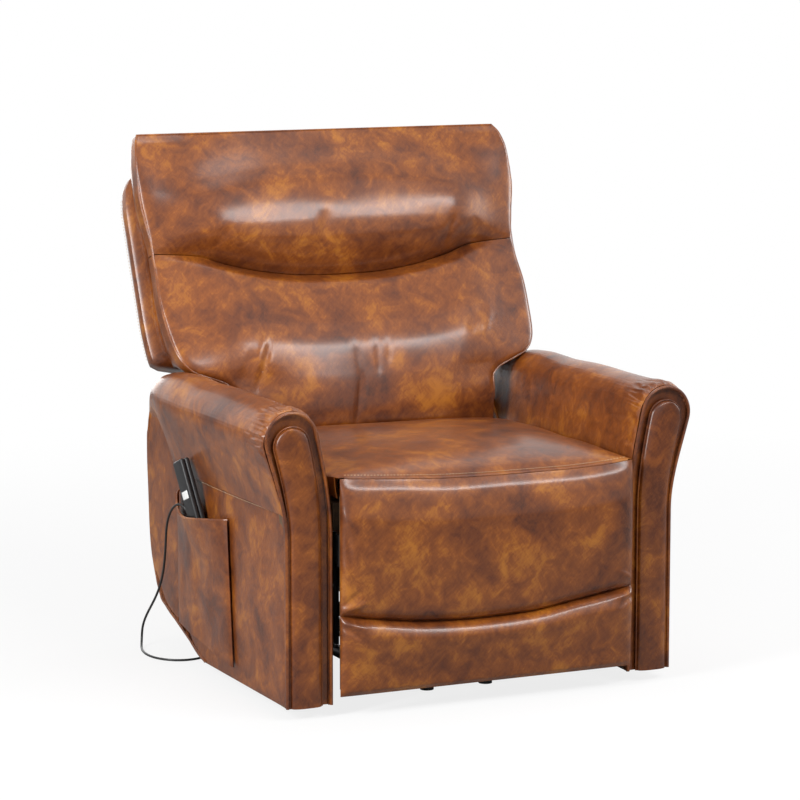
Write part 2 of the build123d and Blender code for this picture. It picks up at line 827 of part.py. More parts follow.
def cushion_blank(side_line):
    """A back cushion: its side outline, crowned from side to side."""
    with BuildSketch(Plane.YZ.offset(-back_half_width)) as profile:
        with BuildLine():
            Polyline(*[back_point(along, depth) for depth, along in side_line], close=True)
        make_face()
    extrude(profile.sketch, amount=2 * back_half_width)
    lean = radians(back_lean)
    across = Plane(
        origin=(0, *back_hinge), x_dir=(1, 0, 0), z_dir=(0, sin(lean), cos(lean))
    )
    with BuildSketch(across) as crown:
        with BuildLine():
            ThreePointArc(
                (-back_half_width, -90), (0, -168), (back_half_width, -90)
            )
            Polyline(
                (back_half_width, -90),
                (back_half_width, cushion_rear),
                (-back_half_width, cushion_rear),
                (-back_half_width, -90),
            )
        make_face()
    extrude(crown.sketch, amount=900, mode=Mode.INTERSECT)


def cushion_front():
    """Trims a piece of the back to its T-shaped front outline."""
    right_edge = [
        (back_low_half_width, back_bottom),
        (back_low_half_width, wing_bottom),
        (wing_half_width, wing_bottom + 15),
        (back_half_width, wing_start),
        (back_half_width, seam_side + 100),
        (back_top_half_width, back_top),
    ]
    left_edge = [(-across, along) for across, along in reversed(right_edge)]
    with BuildSketch(back_plane(200)) as front:
        with BuildLine():
            Polyline(*right_edge, *left_edge, close=True)
        make_face()
    extrude(front.sketch, amount=500, mode=Mode.INTERSECT)


def seam_cut(upper):
    """Removes what lies past the curved seam between the two cushions: above it, or below."""
    far = 900 if upper else -300
    with BuildSketch(back_plane(200)) as past_seam:
        with BuildLine():
            seam = Spline(
                (-back_half_width - 5, seam_side),
                (-back_half_width / 2, between((0, seam_middle), (0, seam_side), 0.4)[1]),
                (0, seam_middle),
                (back_half_width / 2, between((0, seam_middle), (0, seam_side), 0.4)[1]),
                (back_half_width + 5, seam_side),
            )
            Polyline(seam @ 1, (back_half_width + 5, far), (-back_half_width - 5, far), seam @ 0)
        make_face()
    extrude(past_seam.sketch, amount=500, mode=Mode.SUBTRACT)


with BuildPart() as lumbar_cushion:
    cushion_blank(
        [
            (cushion_rear, back_bottom),
            (-150, back_bottom),
            (-165, 60),
            (-160, 130),
            (-138, 230),
            (-118, 320),
            (-108, seam_side),
            (cushion_rear, seam_side),
        ]
    )
    cushion_front()
    seam_cut(upper=True)
    arm_space()
pieces["lumbar_cushion"] = lumbar_cushion

with BuildPart() as headrest_cushion:
    cushion_blank(
        [
            (cushion_rear, seam_middle - 5),
            (-112, seam_middle - 5),
            (-138, 410),
            (-150, 470),
            (-142, 550),
            (-112, 625),
            (-90, back_top),
            (cushion_rear, back_top - 25),
        ]
    )
    cushion_front()
    seam_cut(upper=False)
pieces["headrest_cushion"] = headrest_cushion

shell_low, shell_high, shell_half_width = 62, 560, 428
with BuildPart() as back_shell:
    back_board(-back_low_half_width, back_low_half_width, shell_low, wing_start, shell_front, shell_rear)
    back_board(-shell_half_width, shell_half_width, wing_start, shell_high, shell_front, shell_rear)
    rear_corners = back_shell.edges().filter_by(
        lambda edge: abs(edge.center().X) > shell_half_width - 1 and edge.length < 25
    )
    fillet(rear_corners, 12)
pieces["back_shell"] = back_shell

gusset = 10
with BuildPart() as back_gussets:
    for side in sides:
        back_board(
            side * (shell_half_width - gusset),
            side * shell_half_width,
            wing_start + gusset,
            shell_high,
            cushion_rear,
            shell_front,
        )
    back_board(
        gusset - shell_half_width,
        shell_half_width - gusset,
        shell_high - gusset,
        shell_high,
        cushion_rear,
        shell_front,
    )
pieces["back_gussets"] = back_gussets

upright_inner, upright_outer = 252, 282
rail_half_width = shell_half_width - gusset - 6
back_frame_top = rail_places[-1] + rail_width
frame_front = cushion_rear + rest_gap
rail_rear = frame_front + rail_depth
with BuildPart() as back_frame:
    for side in sides:
        back_board(
            side * upright_inner,
            side * upright_outer,
            rail_places[0],
            back_frame_top,
            rail_rear,
            rail_rear + rail_depth,
        )
    for low, half_width in zip(rail_places, (upright_outer, rail_half_width, rail_half_width)):
        back_board(-half_width, half_width, low, low + rail_width, frame_front, rail_rear - glue)
pieces["back_frame"] = back_frame

with BuildPart() as back_hinge_plates:
    for side in sides:
        with BuildSketch(lane_plane(side, hinge_lane)):
            bar_outline(back_hinge, back_point(90, rail_rear), 28)
            bar_outline(back_point(90, rail_rear), back_point(170, rail_rear + 8), 28)
            disc(back_hinge, pin_radius + pin_clearance, Mode.SUBTRACT)
        extrude(amount=side * hinge_lane[1])
pieces["back_hinge_plates"] = back_hinge_plates

with BuildPart() as recline_crank:
    for side in sides:
        with BuildSketch(Plane.YZ.offset(recline_motor_x + side * ear_gap)):
            disc(recline_crank_pivot, 14)
            with BuildLine():
                Polyline(
                    back_point(rail_places[0], rail_rear),
                    back_point(rail_places[0] + rail_width, rail_rear),
                    back_point(rail_places[0] + rail_width, rail_rear + ear),
                    back_point(rail_places[0], rail_rear + ear),
                    close=True,
                )
            make_face()
            make_hull()
        extrude(amount=side * ear)
    pin(
        recline_crank_pivot,
        recline_motor_x - pin_reach,
        recline_motor_x + pin_reach,
        motor_pin_radius,
    )
pieces["recline_crank"] = recline_crank

# ---------------------------------------------------------------- footrest
board_rear = footrest_board_front + footrest_board_depth
with BuildPart() as footrest_rear_links:
    for side in sides:
        with BuildSketch(lane_plane(side, rear_link_lane)):
            bar_outline(swing_pivot, knee_pivot, link_width)
            disc(swing_pivot, pin_radius + pin_clearance, Mode.SUBTRACT)
            disc(knee_pivot, pin_radius + pin_clearance, Mode.SUBTRACT)
        extrude(amount=side * rear_link_lane[1])
    side_pins(knee_pivot, rear_link_lane, front_link_lane)
pieces["footrest_rear_links"] = footrest_rear_links

with BuildPart() as footrest_front_links:
    for side in sides:
        with BuildSketch(lane_plane(side, front_link_lane)):
            bar_outline(knee_pivot, toe_pivot, link_width)
            disc(knee_pivot, pin_radius + pin_clearance, Mode.SUBTRACT)
            disc(toe_pivot, pin_radius + pin_clearance, Mode.SUBTRACT)
        extrude(amount=side * front_link_lane[1])
pieces["footrest_front_links"] = footrest_front_links

with BuildPart() as footrest_brackets:
    for side in sides:
        with BuildSketch(lane_plane(side, bracket_lane)):
            disc(toe_pivot, 14)
            with BuildLine():
                Polyline(
                    (board_rear, toe_pivot[1] - 45),
                    (board_rear + 12, toe_pivot[1] - 45),
                    (board_rear + 12, toe_pivot[1] + 15),
                    (board_rear, toe_pivot[1] + 15),
                    close=True,
                )
            make_face()
            make_hull()
            disc(toe_pivot, pin_radius + pin_clearance, Mode.SUBTRACT)
        extrude(amount=side * bracket_lane[1])
    side_pins(toe_pivot, front_link_lane, bracket_lane)
pieces["footrest_brackets"] = footrest_brackets

with BuildPart() as footrest_board:
    block(
        -bracket_lane[0] - 6,
        bracket_lane[0] + 6,
        footrest_board_front,
        board_rear,
        footrest_base + 12,
        footrest_top - 14,
    )
pieces["footrest_board"] = footrest_board


def footrest_pad(low, high, low_round, high_round):
    """A pad of the footrest, rounded at its lower and upper front edges."""
    depth = footrest_board_front - footrest_front
    with BuildPart() as pad:
        block(
            -footrest_half_width,
            footrest_half_width,
            footrest_front,
            footrest_board_front,
            low,
            high,
        )
        front_edges = pad.edges().filter_by(Axis.X).group_by(Axis.Y)[0].sort_by(Axis.Z)
        fillet(front_edges[0], min(low_round, depth - 5))
        front_edges = pad.edges().filter_by(Axis.X).group_by(Axis.Z)[-1].sort_by(Axis.Y)
        fillet(front_edges[0], min(high_round, depth - 5))
    return pad


pieces["footrest_upper_pad"] = footrest_pad(footrest_seam + seam_gap / 2, footrest_top, 12, 18)
pieces["footrest_lower_pad"] = footrest_pad(footrest_base, footrest_seam - seam_gap / 2, 14, 12)

# ---------------------------------------------------------------- handset cord
# It hangs from the handset over the pocket's mouth, down the side of the arm to the floor, and
# runs under the chair to the control box.
relief_end = Vector(*handset_foot) - handset_axis * relief_length
cord_points = [
    tuple(relief_end),
    tuple(relief_end - handset_axis * 20),
    (-421, -34, 239),
    (-423, -17, 228),
    (-425, 2, 238),
    (-427, 9, 262),
    (-428, 11, 287),
    (-430, 14, 312),
    (-436, 24, 335),
    (-444, 44, 340),
    (-450, 66, 324),
    (-452, 86, 293),
    (-448, 102, 255),
    (-444, 118, 215),
    (-442, 138, 172),
    (-441, 168, 135),
    (-440, 205, 103),
    (-439, 243, 73),
    (-437, 273, 43),
    (-435, 282, 18),
    (-441, 268, 4),
    (-452, 238, 2.6),
    (-459, 200, 2.6),
    (-456, 160, 2.6),
    (-438, 128, 2.6),
    (-410, 110, 2.6),
    (-375, 112, 2.6),
    (-340, 135, 2.6),
    (-310, 168, 2.6),
    (-285, 205, 2.6),
    (-258, 236, 2.6),
    (-228, 256, 6),
    (-210, 269, 28),
    (-203, 272, 62),
    (*socket_place, 100),
    (*socket_place, box_bottom - socket_height),
]


def bend_radii(points):
    """The largest arc that each corner's two runs leave room for."""
    radii = []
    for before, corner, after in zip(points, points[1:], points[2:]):
        incoming = Vector(*corner) - Vector(*before)
        outgoing = Vector(*after) - Vector(*corner)
        turn = radians(incoming.get_angle(outgoing))
        radii.append(0.45 * min(incoming.length, outgoing.length) / tan(turn / 2))
    return radii


radii = bend_radii(cord_points)
with BuildPart() as handset_cord:
    with BuildLine():
        cord_route = FilletPolyline(*cord_points, radius=radii)
    with BuildSketch(Plane(cord_route @ 0, z_dir=cord_route % 0)):
        Circle(cord_diameter / 2)
    sweep()
pieces["handset_cord"] = handset_cord

cord_volume = pi * cord_diameter**2 / 4 * cord_route.length
print("cord length", round(cord_route.length), "smallest radii", [round(r) for r in sorted(radii)[:6]])
print("cord volume over section times length", round(handset_cord.part.volume / cord_volume, 4))

# ---------------------------------------------------------------- export
for label, piece in pieces.items():
    piece.part.label = label
    export_step(piece.part, f"parts/{label}.step")
print(len(pieces), "pieces")
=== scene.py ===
# %% [markdown]
# # A lift recliner chair in antiqued brown leather
# The chair is an upholstered recliner on a powered lift base. Its frame, linkage and motors come
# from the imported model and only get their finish. The leather parts are modelled again as padded
# shapes that swell between their seams. All is in metres: X across, Y from front to back, Z up.

# %% Load the frame
import json
from bisect import bisect_right
from math import cos, exp, hypot, pi, radians, sin

import bmesh
import bpy
from mathutils import Matrix, Vector, noise


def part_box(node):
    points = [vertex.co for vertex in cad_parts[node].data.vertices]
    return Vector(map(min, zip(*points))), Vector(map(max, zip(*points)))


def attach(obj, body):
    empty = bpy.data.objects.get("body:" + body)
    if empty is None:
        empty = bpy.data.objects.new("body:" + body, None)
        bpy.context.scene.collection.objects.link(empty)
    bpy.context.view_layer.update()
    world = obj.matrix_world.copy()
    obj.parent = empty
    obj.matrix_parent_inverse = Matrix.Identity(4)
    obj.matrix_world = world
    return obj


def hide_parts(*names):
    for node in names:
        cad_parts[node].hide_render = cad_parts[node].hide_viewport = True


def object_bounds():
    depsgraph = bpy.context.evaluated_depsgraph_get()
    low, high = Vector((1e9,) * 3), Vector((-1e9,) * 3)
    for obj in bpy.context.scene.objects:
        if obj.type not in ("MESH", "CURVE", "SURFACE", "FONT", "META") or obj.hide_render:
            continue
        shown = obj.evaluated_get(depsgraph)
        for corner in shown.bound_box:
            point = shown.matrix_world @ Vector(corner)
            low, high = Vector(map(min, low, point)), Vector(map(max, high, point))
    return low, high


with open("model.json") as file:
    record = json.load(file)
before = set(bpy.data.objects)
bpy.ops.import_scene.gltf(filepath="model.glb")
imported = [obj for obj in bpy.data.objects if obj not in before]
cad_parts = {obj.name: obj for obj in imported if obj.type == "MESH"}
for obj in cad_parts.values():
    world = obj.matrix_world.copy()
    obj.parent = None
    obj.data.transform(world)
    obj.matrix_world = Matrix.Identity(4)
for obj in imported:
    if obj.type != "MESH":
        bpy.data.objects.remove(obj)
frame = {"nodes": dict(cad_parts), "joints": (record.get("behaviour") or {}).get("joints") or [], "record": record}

cad_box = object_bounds()
width, depth, height = cad_box[1] - cad_box[0]
print(f"the packed chair is {width:.3f} m wide, {depth:.3f} m deep and {height:.3f} m high")

# %% [markdown]
# ## Helpers for modelling
# Upholstery is full of outlines that swell and pull in. They could be drawn by hand, but as a few
# places and values that `through` joins smoothly, one number changes one swell.


# %% Smooth lines
def glide(t, start, leaving, end, arriving):
    """The place at t, from 0 to 1, on a smooth way with a direction at each end."""
    first = (2 * t**3 - 3 * t**2 + 1) * start + (t**3 - 2 * t**2 + t) * leaving
    return first + (3 * t**2 - 2 * t**3) * end + (t**3 - t**2) * arriving


def through(*points):
    """A smooth function through (place, value) pairs, level beyond its ends."""
    places = [place for place, _ in points]
    values = [value for _, value in points]
    rises = [(b - a) / (q - p) for a, b, p, q in zip(values, values[1:], places, places[1:])]
    slopes = [rises[0]]
    for before, after in zip(rises, rises[1:]):
        slopes.append(0 if before * after <= 0 else 2 * before * after / (before + after))
    slopes.append(rises[-1])

    def value_at(place):
        place = min(max(place, places[0]), places[-1])
        i = min(bisect_right(places, place), len(places) - 1) - 1
        width = places[i + 1] - places[i]
        t = (place - places[i]) / width
        return glide(t, values[i], width * slopes[i], values[i + 1], width * slopes[i + 1])

    return value_at


def along_line(points, share):
    """The place at a share of the way along a list of points."""
    spot = share * (len(points) - 1)
    i = min(int(spot), len(points) - 2)
    return Vector(points[i]).lerp(Vector(points[i + 1]), spot - i)


def steps(first, last, count):
    """Values from first to last in equal steps."""
    return [first + (last - first) * step / count for step in range(count + 1)]


def smooth_step(value, low, high):
    """0 below low, 1 above high, and a smooth rise between them."""
    t = min(max((value - low) / (high - low), 0), 1)
    return t * t * (3 - 2 * t)


def pillow(share, power=8):
    """How full a cushion is at a share of its half width: 1 in the middle, 0 at its edge."""
    return max(0, 1 - abs(share) ** power) ** 0.5


# %% [markdown]
# A padded panel could be sculpted, or blown up by a cloth simulation. Here it is a grid whose
# points are moved, because its seams then lie where they should. Its rim is extruded back to the
# board behind it and filled. Operators work on what is selected, so each step selects anew.


# %% Select, shape and close
def clear_selection():
    bpy.ops.object.select_all(action="DESELECT")


def make_active(piece):
    clear_selection()
    piece.select_set(True)
    bpy.context.view_layer.objects.active = piece


def apply_modifier(piece, kind, **settings):
    make_active(piece)
    modifier = piece.modifiers.new(kind.title(), kind)
    for name, value in settings.items():
        setattr(modifier, name, value)
    bpy.ops.object.modifier_apply(modifier=modifier.name)


def shaped_grid(name, columns, rows, place):
    """A grid whose points go to place(u, v), with u and v from 0 to 1."""
    clear_selection()
    bpy.ops.mesh.primitive_grid_add(x_subdivisions=columns, y_subdivisions=rows, size=2)
    piece = bpy.context.object
    piece.name = name
    for vertex in piece.data.vertices:
        vertex.co = place((vertex.co.x + 1) / 2, (vertex.co.y + 1) / 2)
    return piece


def move_selected(piece, place):
    """In edit mode, moves each selected point to place(its position)."""
    mesh = bmesh.from_edit_mesh(piece.data)
    for vertex in mesh.verts:
        if vertex.select:
            vertex.co = place(vertex.co)
    bmesh.update_edit_mesh(piece.data)


def face_outwards(piece):
    make_active(piece)
    bpy.ops.object.mode_set(mode="EDIT")
    bpy.ops.mesh.select_all(action="SELECT")
    bpy.ops.mesh.normals_make_consistent(inside=False)
    bpy.ops.object.mode_set(mode="OBJECT")


def close_through(piece, *stages):
    """Extrudes the rim of an open sheet to each stage(point) in turn, and fills it."""
    make_active(piece)
    bpy.ops.object.mode_set(mode="EDIT")
    bpy.ops.mesh.select_mode(type="EDGE")
    bpy.ops.mesh.select_all(action="DESELECT")
    bpy.ops.mesh.select_non_manifold()
    for stage in stages:
        bpy.ops.mesh.extrude_edges_move()
        move_selected(piece, stage)
    bpy.ops.mesh.edge_face_add()
    bpy.ops.mesh.select_all(action="SELECT")
    bpy.ops.mesh.remove_doubles(threshold=0.00005)
    bpy.ops.mesh.normals_make_consistent(inside=False)
    bpy.ops.object.mode_set(mode="OBJECT")
    return piece


def close_behind(piece, behind, count):
    """Extrudes the rim straight back to behind(point) in equal steps, and fills it."""
    shares = [1 / (count - step) for step in range(count)]
    return close_through(piece, *(lambda p, share=share: p.lerp(behind(p), share) for share in shares))


# %% [markdown]
# A finished piece gets its finish, rides on the body that carries it, and stands for the solid
# that it replaces. This could be written out for each piece, but one helper forgets none.


# %% Finish a piece
sharp_edge = radians(40)


def finish_piece(piece, body, slot, material, *nodes, padded=None):
    make_active(piece)
    bpy.ops.object.shade_smooth_by_angle(angle=sharp_edge)
    piece.data.materials.clear()
    piece.data.materials.append(material)
    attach(piece, body)
    if nodes:
        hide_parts(*nodes)
    print(f"{piece.name}: {len(piece.data.polygons)} faces, carried by the {body}")


# %% [markdown]
# Piping and threads follow a seam. They could be a texture, but they stand proud and catch the
# light. So piping is a curve with a round section, and stitches are beads of thread along a line.


# %% Piping and stitches
stitch_pitch, stitch_length, stitch_thickness = 0.0068, 0.0046, 0.0013


def round_line(name, kind, points, radius, resolution):
    """A curve along the points, with a round section."""
    line = bpy.data.curves.new(name, "CURVE")
    line.dimensions = "3D"
    line.bevel_depth = radius
    line.bevel_resolution = resolution
    line.resolution_u = 10
    line.use_fill_caps = True
    spline = line.splines.new(kind)
    spline.points.add(len(points) - 1)
    for control, point in zip(spline.points, points):
        control.co = (*point, 1)
    piece = bpy.data.objects.new(name, line)
    bpy.context.scene.collection.objects.link(piece)
    return piece


def piping(name, points, radius):
    """A tube along the points, as a mesh."""
    make_active(round_line(name, "POLY", points, radius, 2))
    bpy.ops.object.convert(target="MESH")
    return bpy.context.object


def spaced(points, pitch):
    """(place, direction) every pitch metres along a line of points."""
    travelled, due = 0, pitch / 2
    for start, end in zip(points, points[1:]):
        run = (end - start).length
        while run > 0 and due <= travelled + run:
            yield start.lerp(end, (due - travelled) / run), (end - start).normalized()
            due += pitch
        travelled += run


def stitches(name, lines):
    """Rows of thread stitches along lines of points, in one piece."""
    clear_selection()
    bpy.ops.mesh.primitive_ico_sphere_add(subdivisions=1, radius=1)
    piece = bpy.context.object
    piece.name = name
    bead = piece.data.copy()
    bead.transform(Matrix.Diagonal((stitch_thickness / 2, stitch_thickness / 2, stitch_length / 2, 1)))
    mesh = bmesh.new()
    for line in lines:
        for place, direction in spaced(line, stitch_pitch):
            copy = bead.copy()
            turn = direction.to_track_quat("Z", "Y").to_matrix().to_4x4()
            copy.transform(Matrix.Translation(place) @ turn)
            mesh.from_mesh(copy)
            bpy.data.meshes.remove(copy)
    mesh.to_mesh(piece.data)
    mesh.free()
    bpy.data.meshes.remove(bead)
    return piece


# %% [markdown]
# ## Finishes
# A finish is a small network of shader nodes. It could be wired by hand, but as code it can be made
# again with other values. A Value wraps one output socket, so that shader maths reads as ordinary
# expressions. A Graph adds nodes, and a Finish is one material.


# %% Shader maths
class Value:
    """One output socket. Arithmetic on it adds Math nodes."""

    def __init__(self, graph, socket):
        self.graph, self.socket = graph, socket

    def maths(self, operation, first, second):
        return self.graph.node("Math", {"operation": operation}, {0: first, 1: second})

    def __add__(self, other):
        return self.maths("ADD", self, other)

    def __sub__(self, other):
        return self.maths("SUBTRACT", self, other)

    def __mul__(self, other):
        return self.maths("MULTIPLY", self, other)

    def __rsub__(self, other):
        return self.maths("SUBTRACT", other, self)

    __radd__ = __add__
    __rmul__ = __mul__


class Graph:
    """A node tree to which nodes are added, one call for each."""

    def __init__(self, tree):
        self.tree = tree

    def node(self, kind, settings, inputs, output=0):
        node = self.tree.nodes.new("ShaderNode" + kind)
        for name, value in settings.items():
            setattr(node, name, value)
        for name, value in inputs.items():
            self.feed(node.inputs[name], value)
        return Value(self, node.outputs[output])

    def feed(self, socket, value):
        if isinstance(value, Value):
            self.tree.links.new(value.socket, socket)
        else:
            socket.default_value = value


class Finish(Graph):
    """One material and the nodes that make it."""

    def __init__(self, name, roughness, metallic=0.0, coat=0.0, coat_roughness=0.2):
        self.material = bpy.data.materials.new(name)
        self.material.use_nodes = True
        super().__init__(self.material.node_tree)
        self.shader = self.tree.nodes["Principled BSDF"]
        self.set(Roughness=roughness, Metallic=metallic, Coat_Weight=coat, Coat_Roughness=coat_roughness)
        self.place = self.node("TexCoord", {}, {}, "Object")

    def set(self, **inputs):
        for name, value in inputs.items():
            self.feed(self.shader.inputs[name.replace("_", " ")], value)

    def moved(self, shift=(0, 0, 0), scale=(1, 1, 1)):
        """The place on the object, shifted and stretched, for a pattern to read."""
        inputs = {"Vector": self.place, "Location": shift, "Scale": scale}
        return self.node("Mapping", {}, inputs)

    def noise(self, place, scale, detail=3, roughness=0.5, distortion=0.0):
        inputs = {"Vector": place, "Scale": scale, "Detail": detail}
        return self.node("TexNoise", {}, inputs | {"Roughness": roughness, "Distortion": distortion})

    def ramp(self, value, *stops):
        """Colours at places from 0 to 1, mixed between them."""
        colour = self.node("ValToRGB", {}, {0: value})
        elements = colour.socket.node.color_ramp.elements
        while len(elements) < len(stops):
            elements.new(0.5)
        for element, (position, shade) in zip(elements, stops):
            element.position = position
            element.color = (*shade, 1)
        return colour

    def spread(self, value, low, high):
        """A pattern value from 0 to 1, spread from low to high."""
        inputs = {"Value": value, 1: 0.3, 2: 0.7, 3: low, 4: high}
        return self.node("MapRange", {}, inputs)

    def bump(self, height, distance, strength=1.0, normal=None):
        inputs = {"Height": height, "Distance": distance, "Strength": strength}
        if normal:
            inputs["Normal"] = normal
        return self.node("Bump", {}, inputs)


# %% [markdown]
# ### Antiqued leather
# The leather is dyed twice: an amber ground, and a dark brown glaze rubbed off in clouds and short
# brush strokes. A picture of leather would stretch and show its seams. Noises don't: stretched ones
# make the strokes, slow ones the clouds. Over a fine pebbled grain lies a clear coat. The dyed layer
# itself reflects little, so that its colour stays deep where it is seen at an angle.


# %% Leather
dark_glaze = (0.072, 0.0185, 0.007)
brown_glaze = (0.14, 0.036, 0.0085)
cognac = (0.232, 0.064, 0.011)
amber = (0.4, 0.137, 0.016)
cloud_share, patch_share, stroke_share = 0.42, 0.3, 0.28
stroke_sizes = ((0.016, 0.0035, 0.03), (0.0035, 0.016, 0.03), (0.0035, 0.03, 0.016))
stroke_turns = ((0.9, 0.4), (0.45, 0.3), (-0.6, 0.3))


def leather(name, shift, axis):
    """Leather for a surface that faces along an axis: 0 sideways, 1 forwards or 2 up."""
    finish = Finish(name, roughness=0.38, coat=0.74, coat_roughness=0.25)
    finish.set(Specular_IOR_Level=0.12)
    moved = finish.moved(shift)
    clouds = finish.noise(moved, 8, 3, 0.5, 0.7)
    patches = finish.noise(moved, 26, 5, 0.62, 1.0)
    strokes = None
    for angle, weight in stroke_turns:
        turn = [0, 0, 0]
        turn[axis] = angle
        inputs = {"Vector": moved, "Rotation": turn, "Scale": stroke_sizes[axis]}
        stretched = finish.node("Mapping", {"vector_type": "TEXTURE"}, inputs)
        stroke = finish.noise(stretched, 1.0, 4, 0.65, 0.5) * weight
        strokes = stroke if strokes is None else strokes + stroke
    glaze = clouds * cloud_share + patches * patch_share + strokes * stroke_share
    colour = finish.ramp(
        glaze, (0.38, dark_glaze), (0.455, brown_glaze), (0.53, cognac), (0.61, amber)
    )
    grain = finish.noise(finish.place, 520, 3, 0.6)
    pores = finish.node("TexVoronoi", {}, {"Vector": finish.place, "Scale": 700.0}, "Distance")
    slow = finish.noise(finish.place, 30, 3, 0.5)
    rolling = finish.bump(slow, 0.0014, 0.5)
    surface = finish.bump(grain * 0.7 + pores * 0.3, 0.0008, 0.85, rolling)
    finish.set(
        Base_Color=colour,
        Roughness=finish.spread(patches * 0.5 + strokes * 0.5, 0.32, 0.43),
        Normal=surface,
    )
    return finish.material


back_leather = leather("antiqued_leather_back", (0.3, 0.1, 0.0), 1)
seat_leather = leather("antiqued_leather_seat", (1.7, 0.4, 0.2), 2)
front_leather = leather("antiqued_leather_front", (2.9, 1.3, 0.5), 1)
arm_leather = leather("antiqued_leather_arms", (4.1, 0.2, 1.1), 0)
facing_leather = leather("antiqued_leather_facings", (5.3, 0.7, 1.9), 1)
print(len(back_leather.node_tree.nodes), "nodes make the leather of the back")


# %% [markdown]
# ### Metal, plastic, wood, webbing and thread
# Powder-coated steel has a faint orange-peel surface, plastic a fine spark texture, and the boards
# a long grain. Each could have its own network, but these parts are small or dark, so that one
# function with a coarse and a fine noise does for all.


# %% Plain finishes
def textured(name, low_colour, high_colour, roughness, scale, bump, metallic=0, stretch=(1, 1, 1)):
    """A finish whose colour varies with a coarse noise, and its surface with a fine one."""
    finish = Finish(name, roughness, metallic)
    place = finish.moved(scale=stretch)
    pattern = finish.noise(place, scale, 4, 0.55)
    surface = finish.noise(place, scale * 6, 2, 0.5)
    finish.set(
        Base_Color=finish.ramp(pattern, (0.35, low_colour), (0.65, high_colour)),
        Roughness=finish.spread(pattern, roughness * 0.85, roughness * 1.15),
        Normal=finish.bump(surface, bump, 0.4),
    )
    return finish.material


plain_finishes = {
    "black_steel": ("powder_coated_steel", (0.012, 0.012, 0.013), (0.022, 0.022, 0.023), 0.38, 60, 0.0004),
    "bright_steel": ("zinc_plated_steel", (0.5, 0.5, 0.5), (0.66, 0.66, 0.65), 0.28, 90, 0.0001, 1.0),
    "black_plastic": ("black_plastic", (0.01, 0.01, 0.011), (0.017, 0.017, 0.018), 0.42, 300, 0.0002),
    "white_plastic": ("white_plastic", (0.82, 0.82, 0.8), (0.9, 0.9, 0.88), 0.25, 200, 0.0001),
    "black_rubber": ("cord_jacket", (0.01, 0.01, 0.01), (0.016, 0.016, 0.016), 0.4, 200, 0.0001),
    "rubber_foot": ("moulded_rubber", (0.01, 0.01, 0.01), (0.02, 0.02, 0.02), 0.6, 200, 0.0002),
    "plywood": ("stained_plywood", (0.07, 0.04, 0.02), (0.13, 0.075, 0.038), 0.6, 12, 0.0003, 0, (1, 8, 8)),
    "webbing": ("woven_webbing", (0.03, 0.03, 0.032), (0.06, 0.06, 0.062), 0.85, 500, 0.0006),
}
finishes = {slot: textured(*values) for slot, values in plain_finishes.items()}
finishes["leather"] = finishes["leather_cushion"] = arm_leather
thread = textured("waxed_thread", (0.55, 0.38, 0.22), (0.75, 0.56, 0.36), 0.5, 400, 0.0002)

for row in frame["record"]["subparts"]:
    node = frame["nodes"][row["node"]]
    node.data.materials.clear()
    node.data.materials.append(finishes[row["material_slot"]])

# %% [markdown]
# ## The back
# The back leans, and it swings about its hinge. Its outlines could be given in the chair's
# directions, but they are simpler in its own: across it, along it from the hinge, and forwards
# from the hinge's plane. One matrix turns these into the chair's X, Y and Z.

# %% Directions of the back
hinge = Vector(next(j["pos_m"] for j in frame["joints"] if j["name"] == "back_recline"))
back_lean = radians(24)
along_way, forward_way = (0, sin(back_lean), cos(back_lean)), (0, -cos(back_lean), sin(back_lean))
to_chair = Matrix(((1, 0, 0), along_way, forward_way)).transposed().to_4x4()
to_chair.translation = hinge


def on_back(across, along, forward):
    return to_chair @ Vector((across, along, forward))


back_top = 0.622
back_base = -0.034
pad_rear = 0.059
seam_reach, seam_gap = 0.43, 0.001
seam_along = through(
    (0, 0.311), (0.08, 0.313), (0.17, 0.323), (0.26, 0.343), (0.33, 0.363), (0.41, 0.369)
)
half_width = through(
    (-0.034, 0.283), (0.06, 0.288), (0.082, 0.308), (0.096, 0.34), (0.11, 0.372), (0.13, 0.39),
    (0.156, 0.4), (0.2, 0.407), (0.27, 0.411), (0.34, 0.407), (0.385, 0.407), (0.42, 0.412),
    (0.5, 0.422), (0.56, 0.42), (0.6, 0.413), (0.622, 0.404),
)
edge_forward = through(
    (-0.034, 0.132), (0.05, 0.16), (0.12, 0.16), (0.2, 0.147), (0.27, 0.139), (0.35, 0.131),
    (0.42, 0.137), (0.5, 0.15), (0.57, 0.156), (0.6, 0.152), (0.622, 0.142),
)
print("the back's hinge is at", [round(v, 3) for v in hinge])


# %% [markdown]
# Leather puckers where it is pulled to a seam. Puckers could be a bump in the material, but deep
# ones bend the highlights. So each is moulded in, as a short groove or ridge along a line.


# %% Puckers
def puckers(*lines):
    """A relief from (x, y, x, y, width, depth) lines, each fading at its ends."""

    def height(x, y):
        total = 0
        for x1, y1, x2, y2, width, depth in lines:
            length = hypot(x2 - x1, y2 - y1)
            along = ((x - x1) * (x2 - x1) + (y - y1) * (y2 - y1)) / length
            beside = ((x - x1) * (y2 - y1) - (y - y1) * (x2 - x1)) / length
            fade = smooth_step(along, -0.01, 0.3 * length) * (
                1 - smooth_step(along, 0.6 * length, length + 0.01)
            )
            total += depth * fade * exp(-((beside / width) ** 2))
        return total

    return height


def undulation(point, size, height):
    """Slow unevenness of stuffed leather."""
    return height * noise.noise(point / size)


# %% [markdown]
# ### Headrest and lumbar cushions
# The headrest hangs over a curved seam as a long roll; the lumbar cushion is fullest low down and
# widens into wings over the arms. A simulation would swell them evenly, but real ones are stuffed
# unevenly. So their fullness is given from the lower edge to the upper, for middle and sides.

